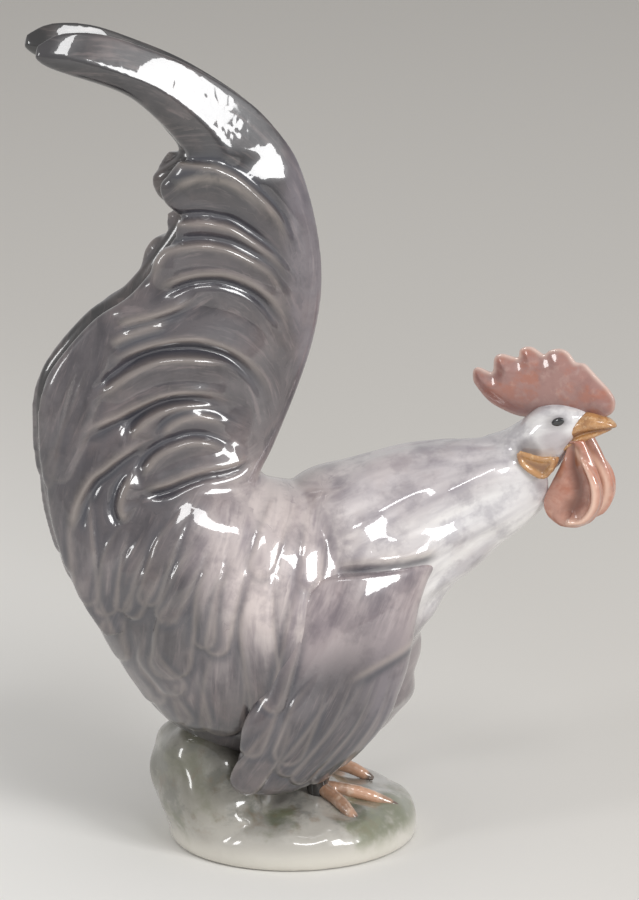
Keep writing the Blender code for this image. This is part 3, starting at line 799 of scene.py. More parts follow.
@dataclass(frozen=True)
class FeatherGlaze:
    """Underglaze paint of the plumage: washes, streaks along the feathers, painted shade in the
    creases and painted highlights on the feather edges.
    """

    name: str
    broad: Cloud = Cloud(0.12, (0.40, 0.62), 0.75, stretch=(1.0, 0.22, 7.3))
    broad_mean: float = 0.33
    fine: Cloud = Cloud(0.55, (0.48, 0.72), 0.8, rough=0.65, stretch=(1.0, 0.10, 3.1))
    fine_mean: float = 0.16
    cloud: Cloud = Cloud(42.0, (0.50, 0.70), 0.18, detail=5.0)
    blot: Cloud = Cloud(95.0, (0.46, 0.66), 0.45)
    shade_colour: Colour = linear(160, 156, 168)
    pale_colour: Colour = linear(88, 78, 76)
    warm_colour: Colour = linear(150, 130, 126)
    # Painted shade in the creases and under feather edges, and pale feather edges with painted
    # highlights.
    crease_shade_colour: Colour = linear(50, 53, 64)
    pale_edge_glint_colour: Colour = linear(176, 164, 154)
    crease_shade_strength: float = 0.75
    pale_edge_glint_strength: float = 0.4
    roughness: float = 0.28
    coat: float = 0.025
    bump: Point = (0.00012, 0.3)

    def make(self) -> bpy.types.Material:
        """Build the material."""
        nodes = Nodes(self.name)
        paint = nodes.attribute("paint").outputs["Color"]
        flow = nodes.attribute("flow").outputs["Vector"]
        bold = nodes.attribute("bold").outputs["Fac"]
        place = nodes.add("TexCoord").outputs["Object"]
        broad = nodes.toward(nodes.cover(self.broad, flow), self.broad_mean, bold)
        dark = nodes.mix(broad, paint, self.shade_colour, "MULTIPLY")
        grey = nodes.mix(nodes.cover(self.blot, place), dark, self.shade_colour, "MULTIPLY")
        fine = nodes.toward(nodes.cover(self.fine, flow), self.fine_mean, bold)
        pale = nodes.mix(fine, grey, self.pale_colour, "SCREEN")
        warm = nodes.mix(nodes.cover(self.cloud, place), pale, self.warm_colour)
        # Painted shade from the crease mask, then pale edges with painted highlights from the rim
        # mask.
        crease = nodes.times(nodes.attribute("crease").outputs["Fac"], self.crease_shade_strength)
        shaded = nodes.mix(crease, warm, self.crease_shade_colour)
        rim = nodes.times(nodes.attribute("rim").outputs["Fac"], self.pale_edge_glint_strength)
        lit = nodes.mix(rim, shaded, self.pale_edge_glint_colour)
        nodes.glaze(lit, self.roughness, self.coat)
        nodes.bump(nodes.pattern(self.blot, place), *self.bump)
        return nodes.material


@dataclass(frozen=True)
class FleshGlaze:
    """Comb and wattle paint: dusty red with pale edges, partly painted highlights on the wattles'
    rims, and brown painted shade in the hollows and at the comb's root.
    """

    name: str
    flesh: Colour
    edge: Colour
    hollow: Colour
    ruddy: Colour
    cloud: Cloud = Cloud(110.0, (0.42, 0.68), 0.5)
    patch: Cloud = Cloud(78.0, (0.46, 0.62), 0.75, stretch=(1.0, 1.0, 1.4))
    grain: Cloud = Cloud(300.0, (0.50, 0.85), 0.25, detail=3.0, rough=0.55)
    roughness: float = 0.3
    coat: float = 0.03
    bump: Point = (0.0001, 0.4)

    def make(self) -> bpy.types.Material:
        """Build the material."""
        nodes = Nodes(self.name)
        place = nodes.add("TexCoord").outputs["Object"]
        flesh = nodes.mix(nodes.cover(self.cloud, place), self.flesh, self.hollow)
        ruddy = nodes.mix(nodes.cover(self.patch, place), flesh, self.ruddy)
        mottled = nodes.mix(nodes.cover(self.grain, place), ruddy, self.edge)
        # Painted shade from the crease mask; pale edges, on the wattles partly painted highlight,
        # from the rim mask.
        crease = nodes.mix(nodes.attribute("crease").outputs["Fac"], mottled, self.hollow)
        lit = nodes.mix(nodes.attribute("rim").outputs["Fac"], crease, self.edge)
        nodes.glaze(lit, self.roughness, self.coat)
        nodes.bump(nodes.pattern(self.grain, place), *self.bump)
        return nodes.material


@dataclass(frozen=True)
class HornGlaze:
    """Beak, ear lobe and toe paint: ochre brushed with brown.

    The crease mask adds brown as painted shade in the gape and inside the ear lobes, and as the
    dark claws on the toes.
    """

    name: str
    horn: Colour = linear(188, 138, 86)
    brown: Colour = linear(126, 82, 46)
    pale: Colour = linear(222, 188, 142)
    scale: float = 260.0
    cloud: Cloud = Cloud(1.0, (0.42, 0.70), 0.6, rough=0.55)
    fleck: Cloud = Cloud(3.1, (0.50, 0.72), 0.6, detail=3.0, rough=0.55)
    roughness: float = 0.3
    coat: float = 0.03
    bump: Point = (0.0001, 0.4)

    def make(self) -> bpy.types.Material:
        """Build the material."""
        nodes = Nodes(self.name)
        place = nodes.add("TexCoord").outputs["Object"]
        brushed = nodes.mix(nodes.cover(self.cloud, place, self.scale), self.horn, self.brown)
        pale = nodes.mix(nodes.cover(self.fleck, place, self.scale), brushed, self.pale)
        crease = nodes.mix(nodes.attribute("crease").outputs["Fac"], pale, self.brown)
        nodes.glaze(crease, self.roughness, self.coat)
        nodes.bump(nodes.pattern(self.fleck, place, self.scale), *self.bump)
        return nodes.material


@dataclass(frozen=True)
class EyeGlaze:
    """Blue-black glaze of the eyes, with a browner ring."""

    name: str = "eye_glaze"
    pupil: Colour = linear(14, 15, 20)
    ring: Colour = linear(66, 62, 64)
    cloud: Cloud = Cloud(700.0, (0.50, 0.80), 0.5, detail=3.0, rough=0.55)
    roughness: float = 0.2
    coat: float = 0.02
    bump: Point = (0.00005, 0.3)

    def make(self) -> bpy.types.Material:
        """Build the material."""
        nodes = Nodes(self.name)
        place = nodes.add("TexCoord").outputs["Object"]
        colour = nodes.mix(nodes.cover(self.cloud, place), self.pupil, self.ring)
        nodes.glaze(colour, self.roughness, self.coat)
        nodes.bump(nodes.pattern(self.cloud, place), *self.bump)
        return nodes.material


@dataclass(frozen=True)
class RockGlaze:
    """Base paint: milky white and grey-green washes, painted shade under the belly, along the seam
    and toward the rear, and a cream rim.

    Raised, rear and rim say where a wash begins and ends, in metres, and its share at both.
    """

    name: str = "rock_glaze"
    milk: Colour = linear(178, 174, 166)
    moss: Colour = linear(116, 120, 94)
    slate: Colour = linear(92, 96, 94)
    umber: Colour = linear(128, 106, 84)
    cream: Colour = linear(216, 212, 202)
    # Painted shadow under the belly and along the seam, and painted shade toward the rear.
    painted_shadow: Colour = linear(34, 30, 26)
    shade: Colour = linear(92, 90, 76)
    green_wash: Cloud = Cloud(34.0, (0.47, 0.60), 0.9, detail=5.0)
    grey_wash: Cloud = Cloud(52.0, (0.47, 0.58), 0.85, 5.0, 0.62, (1.0, 1.0, 1.6))
    spots: Cloud = Cloud(150.0, (0.52, 0.70), 1.0)
    raised: Point = (0.006, 0.026)
    rear: Row = (-0.046, -0.016, 0.75, 0.0)
    rim: Row = (0.003, 0.010, 0.8, 0.0)
    roughness: float = 0.3
    coat: float = 0.03
    bump: Point = (0.0004, 0.35)

    def make(self) -> bpy.types.Material:
        """Build the material."""
        nodes = Nodes(self.name)
        place = nodes.add("TexCoord").outputs["Object"]
        parts = nodes.add("SeparateXYZ")
        nodes.link(place, parts.inputs[0])
        high = nodes.span(parts.outputs["Z"], *self.raised)
        green = nodes.mix(nodes.cover(self.green_wash, place), self.milk, self.moss)
        grey = nodes.mix(nodes.times(nodes.cover(self.grey_wash, place), high), green, self.slate)
        brown = nodes.mix(nodes.times(nodes.cover(self.spots, place), high), grey, self.umber)
        # Painted shade toward the rear, then painted shadow from the crease mask under the belly
        # and along the seam.
        rear = nodes.times(nodes.span(parts.outputs["X"], *self.rear), high)
        shady = nodes.mix(rear, brown, self.shade)
        deep = nodes.mix(nodes.attribute("crease").outputs["Fac"], shady, self.painted_shadow)
        cream = nodes.mix(nodes.span(parts.outputs["Z"], *self.rim), deep, self.cream)
        nodes.glaze(cream, self.roughness, self.coat)
        nodes.bump(nodes.pattern(self.spots, place), *self.bump)
        return nodes.material


Finish = FeatherGlaze | FleshGlaze | HornGlaze | EyeGlaze | RockGlaze


def dress(item: Item, finish: Finish) -> Item:
    """Give a finished piece its finish and place it on the frame.

    Args:
        item: The piece, in the modelling frame.
        finish: Its finish.

    Returns:
        The piece.
    """
    places, _ = read_points(item.data)
    places[:, 0] += BASE_MIDDLE_X
    low = np.array(CAD_LOW) / MM + BOX_MARGIN
    high = np.array(CAD_HIGH) / MM - BOX_MARGIN
    over = float(np.max(np.maximum(low - places, places - high)))
    write_points(item.data, np.clip(places, low, high))
    for name, value in (("crease", 0.0), ("rim", 0.0), ("bold", 1.0)):
        if name not in item.data.attributes:
            store(item, name, "FLOAT", np.full(len(places), value))
    item.data.materials.clear()
    item.data.materials.append(finish.make())
    item.data.shade_smooth()
    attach(item, BODY)
    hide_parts(NODE)
    item.data.calc_loop_triangles()
    count = len(item.data.loop_triangles)
    log.info("%s: %d triangles, %.2f mm past the box", item.name, count, over)
    return item


HEAD_PLACE = (88.4, -16.5, 144.7)
HEAD_TURN = -37.0
HEAD = Matrix.Translation(HEAD_PLACE) @ Matrix.Rotation(math.radians(HEAD_TURN), 4, "Z")


def to_head(places: Array) -> Array:
    """Turn points of the modelling frame into the head's own frame."""
    matrix = np.array(HEAD.inverted())
    return places @ matrix[:3, :3].T + matrix[:3, 3]


def head_distance(item: Item, line: tuple[Point, ...]) -> Array:
    """Measure a piece's distance from a line in the head's side view."""
    places, _ = read_points(item.data)
    return Course(line).measure(to_head(places)[:, [0, 2]])[0]


TAIL_EDGES = (
    FeatherEdge(((-47.4, 239.7), (-46.0, 242.4), (-42.6, 244.3), (-37.8, 245.7), (-32.7, 245.8),
                 (-27.5, 244.8), (-18.7, 239.3), (-8.4, 229.0), (-4.2, 221.9), (-1.1, 213.1))),
    FeatherEdge(((-45.0, 236.5), (-41.5, 239.5), (-37.5, 241.3), (-32.7, 242.2), (-26.8, 241.3),
                 (-20.7, 238.3), (-14.5, 233.0), (-9.0, 226.5)), height=1.2, reach=6.0, depth=0.3),
    FeatherEdge(((-46.3, 216.4), (-45.6, 220.8), (-42.8, 224.2), (-39.0, 226.1), (-33.5, 226.7),
                 (-27.7, 225.6), (-21.5, 223.3), (-10.5, 214.9), (-5.6, 209.5), (-1.5, 203.1)),
                reach=9.0),
    FeatherEdge(((-52.8, 202.7), (-50.7, 207.8), (-48.2, 212.5), (-45.1, 215.9), (-39.9, 218.0),
                 (-33.8, 218.8), (-27.9, 218.1), (-21.7, 215.9), (-10.7, 208.9), (-5.9, 202.8),
                 (-2.4, 195.6))),
    FeatherEdge(((-49.4, 200.9), (-45.9, 202.8), (-41.8, 204.7), (-37.7, 205.9), (-33.2, 206.4),
                 (-27.3, 206.1), (-21.1, 204.1), (-15.6, 201.1), (-10.7, 196.7), (-6.6, 190.9),
                 (-3.1, 183.8)), overlap=Overlap.LEFT, reach=9.0, height=2.2, depth=1.6),
    FeatherEdge(((-63.2, 189.4), (-59.1, 190.9), (-52.2, 192.3), (-46.0, 194.1), (-40.1, 196.3),
                 (-35.0, 199.2)), overlap=Overlap.LEFT, reach=9.0, height=2.2),
    FeatherEdge(((-65.0, 182.5), (-61.9, 184.8), (-57.4, 186.7), (-52.3, 188.2), (-48.1, 189.4),
                 (-43.6, 192.6)), overlap=Overlap.LEFT, reach=7.0, height=2.0),
    FeatherEdge(((-65.3, 175.8), (-61.1, 179.1), (-56.0, 181.3), (-50.8, 182.8), (-45.6, 183.7),
                 (-40.4, 184.0), (-35.3, 183.6), (-30.1, 182.1), (-24.9, 179.8), (-20.1, 176.4),
                 (-15.9, 172.0), (-12.4, 166.2), (-10.4, 159.7)), overlap=Overlap.LEFT, height=2.4),
    FeatherEdge(((-72.3, 165.7), (-68.8, 169.0), (-64.7, 172.3), (-60.2, 175.2), (-55.3, 177.6),
                 (-50.5, 179.3), (-45.0, 180.0), (-38.8, 179.9), (-32.9, 179.1), (-27.7, 177.8),
                 (-23.2, 175.8), (-19.0, 172.8)), height=3.4),
    FeatherEdge(((-75.4, 152.8), (-68.5, 156.3), (-63.3, 158.5), (-58.1, 161.0), (-52.9, 163.2),
                 (-48.4, 164.7), (-42.5, 165.5), (-35.6, 165.1), (-28.7, 163.4), (-21.7, 159.8)),
                overlap=Overlap.LEFT, height=2.4, reach=10.0),
    FeatherEdge(((-60.5, 149.8), (-59.4, 154.3), (-56.6, 157.3), (-52.4, 160.2), (-47.9, 162.1),
                 (-42.0, 163.2), (-34.1, 162.8), (-26.1, 160.3)), height=2.6, reach=9.0),
    FeatherEdge(((-49.8, 151.7), (-47.6, 155.4), (-43.5, 158.0), (-37.6, 159.5), (-30.6, 158.4),
                 (-23.7, 154.9)), height=1.8, reach=7.0),
    FeatherEdge(((-57.2, 137.8), (-55.7, 141.9), (-52.9, 145.3), (-49.1, 147.9), (-44.2, 149.8),
                 (-39.0, 150.9), (-32.8, 150.2), (-26.6, 147.4), (-22.4, 144.4)), height=2.6,
                reach=9.0),
    FeatherEdge(((-78.9, 117.9), (-78.1, 123.2), (-77.0, 128.5), (-74.8, 133.6), (-71.7, 138.1),
                 (-67.8, 141.0), (-63.6, 144.3), (-59.5, 146.9), (-55.0, 149.5), (-49.8, 151.3)),
                overlap=Overlap.LEFT, height=2.6, reach=12.0),
    FeatherEdge(((-56.5, 133.0), (-52.4, 133.8), (-47.2, 134.9), (-41.9, 136.7), (-36.7, 138.2),
                 (-31.5, 139.0), (-26.3, 139.4), (-21.1, 140.5), (-16.9, 142.8)),
                overlap=Overlap.LEFT, height=3.0, reach=9.0, root_fade=0.15, depth=1.6),
    FeatherEdge(((-62.2, 122.5), (-64.6, 125.5), (-65.2, 129.7), (-63.8, 134.6), (-61.3, 138.7),
                 (-57.8, 142.4)), height=2.4, reach=8.0),
)
# The neck feathers' lower edge above the wing's ledge, with painted shade under it.
NECK_EDGES = (
    FeatherEdge(((47.0, 108.5), (34.0, 107.2), (20.0, 106.8), (6.0, 105.0)), height=1.2, reach=9.0,
                depth=0.6, shadow=3.5, root_fade=0.25),
)
DRAPE_STRANDS = (
    Strand(((-65.8, 192.6), (-73.5, 166.3), (-83.2, 141.8)), 5.0, 1.6, edge_shading=0.35),
    Strand(((-74.2, 189.0), (-83.9, 166.3), (-89.5, 138.3)), 5.0, 1.6, edge_shading=0.35),
    Strand(((-78.7, 148.8), (-84.5, 131.3), (-83.0, 109.0)), 5.0, 1.6, edge_shading=0.35),
)
SADDLE_STRANDS = (
    Strand(((-73.5, 147.0), (-77.0, 124.0), (-75.5, 98.0)), 4.5, 1.3),
    Strand(((-59.7, 128.2), (-66.9, 111.9), (-68.9, 94.4)), 4.2, 1.5),
    Strand(((-54.2, 121.9), (-61.3, 108.0), (-63.6, 95.3)), 3.6, 1.5),
    Strand(((-48.6, 116.3), (-56.0, 103.6), (-60.3, 93.1)), 3.6, 1.5),
    Strand(((-38.4, 130.5), (-48.9, 116.9), (-55.3, 99.1)), 4.2, 1.5),
    Strand(((-34.7, 120.2), (-43.1, 107.5), (-49.5, 93.6)), 4.4, 1.5),
    Strand(((-36.7, 105.8), (-45.9, 91.0), (-48.1, 75.3)), 7.0, 2.2),
    Strand(((-28.8, 120.4), (-36.2, 102.0), (-37.7, 84.9)), 4.2, 1.5),
    Strand(((-21.4, 116.7), (-29.8, 99.0), (-33.4, 82.8)), 4.6, 1.5),
    Strand(((-13.1, 118.5), (-19.8, 90.4), (-16.4, 60.9)), 6.6, 2.0),
    Strand(((0.7, 115.1), (-5.6, 89.8), (-12.0, 62.0)), 4.4, 1.6),
    Strand(((-60.9, 97.8), (-66.6, 86.6), (-64.7, 74.2)), 4.6, 1.5),
    Strand(((-54.3, 86.6), (-54.4, 75.7), (-47.5, 65.8)), 5.0, 1.5),
    Strand(((-60.4, 79.7), (-59.2, 69.4), (-52.9, 59.5)), 5.0, 1.5),
    Strand(((-51.7, 69.4), (-49.7, 61.2), (-44.2, 52.8)), 4.8, 1.5),
    Strand(((-42.9, 76.2), (-41.9, 63.4), (-38.5, 51.5)), 5.4, 1.3),
    Strand(((-30.7, 87.8), (-30.8, 70.8), (-30.3, 53.3)), 7.6, 1.6),
    Strand(((-72.1, 107.0), (-75.0, 98.1), (-70.3, 84.4)), 4.4, 1.3),
    Strand(((-4.1, 131.9), (-11.1, 121.7), (-17.4, 109.2)), 4.6, 0.8, edge_shading=0.5),
    Strand(((9.6, 131.4), (3.3, 117.5), (-0.9, 103.5)), 4.6, 0.8, edge_shading=0.5),
)


@dataclass
class Plumage:
    """Body, neck, skull and both tail curtains as one skin.

    The sections are rows for Clay.loft.  A pair whose name ends in from, end, root or plain says
    where a change begins and where it is complete.
    """

    trunk: tuple[Row, ...] = (
        (12.0, 32.0, -12.0, 31.0, 9.0),
        (31.0, 37.0, -31.0, 36.0, 23.0),
        (41.0, 48.0, -48.0, 48.0, 32.0),
        (45.0, 62.0, -58.0, 62.0, 36.0),
        (46.0, 78.0, -66.0, 75.0, 37.5),
        (44.0, 95.0, -71.5, 87.0, 36.5),
        (32.0, 114.0, -75.5, 97.0, 33.5),
        (12.0, 126.0, -79.0, 108.0, 28.0),
        (-9.0, 132.0, -80.0, 122.0, 21.5),
        (-13.0, 141.0, -76.0, 140.0, 14.5),
        (-17.0, 151.0, -70.0, 156.0, 9.0),
    )
    neck: tuple[Row, ...] = (
        (42.0, 60.0, -12.0, 116.0, 30.0),
        (46.0, 74.0, 3.0, 130.5, 32.5),
        (50.5, 83.5, 20.6, 135.8, 29.5),
        (57.5, 90.5, 38.6, 139.8, 25.0, -1.5, -1.0),
        (68.0, 100.5, 56.7, 142.2, 20.0, -5.0, -4.0),
        (79.5, 111.5, 74.0, 144.0, 14.2, -10.5, -9.0),
        (88.0, 120.5, 84.0, 147.6, 9.6, -15.0, -14.0),
    )
    curtain: tuple[Row, ...] = (
        (-14.0, 106.0, -69.0, 83.0, 8.0, 8.0, 15.0),
        (-14.0, 120.0, -77.0, 96.0, 11.0, 7.0, 13.0),
        (-13.3, 133.4, -82.0, 109.0, 12.5, 6.0, 11.0),
        (-7.7, 144.4, -86.6, 129.0, 11.5, 5.0, 8.0),
        (0.3, 162.3, -89.4, 154.0, 9.0, 4.0, 6.5),
        (5.7, 177.0, -87.6, 170.5, 8.2, 3.5, 6.5),
        (8.6, 189.0, -80.5, 181.5, 7.8, 3.5, 6.7),
        (9.8, 198.5, -70.0, 192.5, 7.4, 3.5, 7.0),
        (9.8, 207.0, -57.5, 200.5, 7.2, 3.5, 7.3),
        (8.8, 216.5, -46.6, 213.5, 7.0, 3.5, 7.5),
        (6.9, 226.0, -39.5, 225.0, 6.6, 4.0, 7.5),
        (4.4, 235.5, -45.5, 231.5, 6.6, 4.0, 8.0),
        (1.0, 244.5, -46.8, 238.8, 6.4, 4.5, 8.0),
        (-3.4, 251.5, -38.0, 246.0, 6.2, 5.0, 7.8),
        (-12.3, 261.9, -42.0, 253.4, 6.0, 5.7, 8.0),
        (-23.0, 270.2, -49.5, 261.6, 5.8, 7.0, 8.8),
        (-36.5, 278.4, -58.0, 268.6, 5.6, 8.8, 10.0),
        (-50.0, 284.4, -67.5, 273.0, 5.4, 10.4, 11.4),
        (-66.5, 290.2, -77.6, 276.6, 4.9, 12.0, 12.6),
        (-80.5, 290.9, -85.5, 279.8, 3.9, 13.0, 13.4),
        (-88.7, 287.3, -89.6, 282.7, 1.7, 13.6, 13.8),
    )
    skull: tuple[Row, ...] = (
        (-25.0, -2.0, -20.0, -13.0, 9.0),
        (-17.5, 1.0, -13.5, -11.0, 9.0),
        (-10.5, 5.6, -7.5, -12.0, 9.6),
        (-3.5, 11.4, -2.0, -12.0, 9.8),
        (4.0, 13.3, 3.0, -10.5, 9.2),
        (10.5, 12.6, 6.0, -6.0, 7.8),
        (14.6, 11.2, 8.6, -2.0, 5.6),
    )
    grain: float = 0.72
    passes: int = 8
    triangles: int = 194000
    sickle_from: float = 238.0
    sickle_step: float = 0.5
    sickle_shares: int = 49
    sickle_below: float = 6.0
    sickle_front: float = 9.0
    sickle_ridge: float = -0.2
    sickle_slope: float = 0.92
    sickle_blend: float = 16.0
    sickle_plain: Point = (224.0, 242.0)
    thinnest: float = 0.02
    hackles: int = 13
    hackle_height: float = 0.22
    hackle_half_width: float = 3.0
    hackle_roots: tuple[Point, Point] = ((74.0, 144.0), (84.0, 121.0))
    hackle_tips: tuple[Point, Point] = ((-2.0, 131.0), (52.0, 99.0))
    inner_facing: Point = (0.0, 0.6)
    inner_from: Point = (140.0, 170.0)
    inner_shade: float = 0.8
    swell_height: float = 2.2
    swell_size: Row = (26.0, 8.0, 20.0)
    swell_turn: float = 22.0
    neck_root: Point = (-8.0, 30.0)
    neck_end: Point = (66.0, 78.0)
    nape: Point = (142.0, 150.0)
    calm_neck: float = 0.4
    calm_from: Point = (6.0, 40.0)
    curtain_front: tuple[Point, ...] = (
        (-10.0, 138.0), (2.0, 165.0), (10.0, 195.0), (8.0, 222.0), (-5.0, 250.0), (-30.0, 271.0),
        (-60.0, 284.0), (-86.0, 286.0),
    )
    washes: tuple[Wash, ...] = (
        # Darker underside, partly grey paint and partly painted shade.
        Wash(DUSK, (-35.0, 45.0), (60.0, 40.0)),
        Wash(STONE, (-50.0, 90.0), (46.0, 46.0)),
        # Darker rump under the tail, partly painted shade.
        Wash(DUSK, (-54.0, 92.0), (26.0, 32.0), 0.0, 0.8),
        Wash(BLUSH, (-14.0, 112.0), (34.0, 42.0), 20.0),
        Wash(BLUSH, (20.0, 118.0), (40.0, 34.0)),
        Wash(PEARL, (42.0, 118.0), (44.0, 36.0), 20.0),
        Wash(WHITE, (74.0, 126.0), (46.0, 34.0), 20.0),
        Wash(BLUSH, (48.0, 78.0), (16.0, 30.0), 0.0, 0.4),
        Wash(MIST, (48.0, 136.0), (52.0, 16.0), 16.0, 0.85),
        Wash(WHITE, (64.0, 102.0), (42.0, 24.0), 35.0),
        Wash(WHITE, (97.0, 146.0), (38.0, 28.0)),
        Wash(MAUVE, (-40.0, 205.0), (95.0, 92.0)),
        Wash(MAUVE, (-66.0, 140.0), (40.0, 40.0)),
        Wash(SMOKE, (-40.0, 260.0), (66.0, 34.0), -34.0, 0.9),
        Wash(SMOKE, (-84.0, 283.0), (28.0, 16.0), 0.0, 0.9),
        Wash(LILAC, (4.0, 205.0), (10.0, 70.0), 4.0, 0.6),
        Wash(STONE, (88.3, 152.3), (5.0, 3.4), 10.0, 0.5),
        # Painted shade on the cheek in front of the ear lobe.
        Wash(MIST, (88.0, 146.0), (7.0, 5.5), 0.0, 0.9),
        Wash(STONE, (79.5, 141.5), (5.0, 6.0), 0.0, 0.7),
        # Painted shade along the throat under the wattles.
        Wash(ROSE, (86.0, 131.0), (6.0, 7.0), 0.0, 0.8),
    )

    def hackle_strands(self) -> list[Strand]:
        """Fan the long neck feathers out from the head to the shoulders."""
        made = []
        for number in range(self.hackles):
            share = number / (self.hackles - 1)
            root, tip = (Vector(first).lerp(Vector(last), share)
                         for first, last in (self.hackle_roots, self.hackle_tips))
            middle = root.lerp(tip, 0.5) + Vector((-2.0, 3.5 - 5.0 * share))
            points = (tuple(root), tuple(middle), tuple(tip))
            made.append(Strand(points, self.hackle_half_width, self.hackle_height,
                               slim=0.6, edge_shading=0.15))
        return made

    def form(self) -> Item:
        """Melt trunk, neck, skull and curtains into one skin."""
        clay = Clay()
        clay.loft(self.trunk)
        clay.loft(self.neck)
        clay.loft(self.skull, place=HEAD)
        clay.pair(self.curtain)
        item = clay.finish("plumage", self.grain, self.passes)
        self.bevel_sickles(item)
        return item

    def bevel_sickles(self, item: Item) -> None:
        """Give the two long sickle feathers a low ridge and a flat upper face."""
        rows = smooth_rows(self.curtain, self.sickle_step)
        rows = rows[rows[:, 1] > self.sickle_from]
        places, _ = read_points(item.data)
        high = places[:, 2] > self.sickle_from - self.sickle_below
        chosen = np.nonzero(high & (places[:, 0] < self.sickle_front))[0]
        shares = np.linspace(0.02, 0.98, self.sickle_shares)
        tree = KDTree(len(rows) * len(shares))
        for index, row in enumerate(rows):
            for share in shares:
                x, z = row[:2] + (row[2:4] - row[:2]) * share
                tree.insert((x, z, 0.0), index)
        tree.balance()
        near = rows[[tree.find((x, z, 0.0))[1] for x, _, z in places[chosen]]]
        half = (near[:, 0:2] - near[:, 2:4]) / 2
        offset = places[chosen][:, [0, 2]] - (near[:, 0:2] + near[:, 2:4]) / 2
        across = np.clip(np.sum(offset * half, axis=1) / np.sum(half * half, axis=1), -1.0, 1.0)
        middle = near[:, 6] + (near[:, 5] - near[:, 6]) * (1 + across) / 2
        ridge = self.sickle_ridge
        flat = 1 - self.sickle_slope * (across - ridge) / (1 - ridge)
        round_side = np.sqrt(np.clip(1 - ((across - ridge) / (1 + ridge)) ** 2, self.thinnest, 1))
        wanted = np.where(across > ridge, flat, round_side)
        ratio = wanted / np.sqrt(np.clip(1 - across ** 2, 0.06, 1.0))
        grown = ramp(near[:, 1], self.sickle_from, self.sickle_from + self.sickle_blend)
        side = np.sign(places[chosen, 1])
        away = np.abs(places[chosen, 1]) - middle
        places[chosen, 1] = side * (middle + away * (1 + (ratio - 1) * grown))
        write_points(item.data, places)
        soften(item, 4)

    def swells(self, places: Array) -> Array:
        """Return the long, low waves of the neck feathers at the skin's points."""
        turn = math.radians(self.swell_turn)
        along = places[:, 0] * math.cos(turn) + places[:, 2] * math.sin(turn)
        across = places[:, 2] * math.cos(turn) - places[:, 0] * math.sin(turn)
        spots = np.column_stack([along, across, places[:, 1]]) / np.array(self.swell_size)
        return np.array([noise.noise(Vector(spot)) for spot in spots])

    def sculpt(self, item: Item) -> None:
        """Lay the feathers on the skin and keep what the paint needs."""
        places, normals = read_points(item.data)
        x, y, z = places.T
        surface = Surface(places[:, [0, 2]])
        for feather in (*TAIL_EDGES, *NECK_EDGES, *DRAPE_STRANDS, *SADDLE_STRANDS):
            feather.lay(surface)
        combed = (*TAIL_EDGES, *DRAPE_STRANDS, *SADDLE_STRANDS, *self.hackle_strands())
        courses = tuple(feather.points for feather in combed) + (self.curtain_front,)
        flow = Barbs(courses).lay(surface)
        surface.detail *= 1 - ramp(z, *self.sickle_plain)
        neck = ramp(x, *self.neck_root) * (1 - ramp(x, *self.neck_end))
        neck *= 1 - ramp(z, *self.nape)
        surface.detail += self.swell_height * self.swells(places) * neck
        colours = lay_washes(surface.flat, STONE, self.washes)
        inner = ramp(-normals[:, 1] * np.sign(y), *self.inner_facing) * ramp(z, *self.inner_from)
        colours *= 1 - self.inner_shade * inner[:, None]
        carve(item, surface, normals, places)
        surface.keep(item, flow, colours, 1 - self.calm_neck * ramp(x, *self.calm_from))

    def build(self) -> Item:
        """Make the finished skin."""
        item = self.form()
        self.sculpt(item)
        soften(item, 1)
        lighten(item, self.triangles)
        return dress(item, FeatherGlaze("plumage_glaze"))




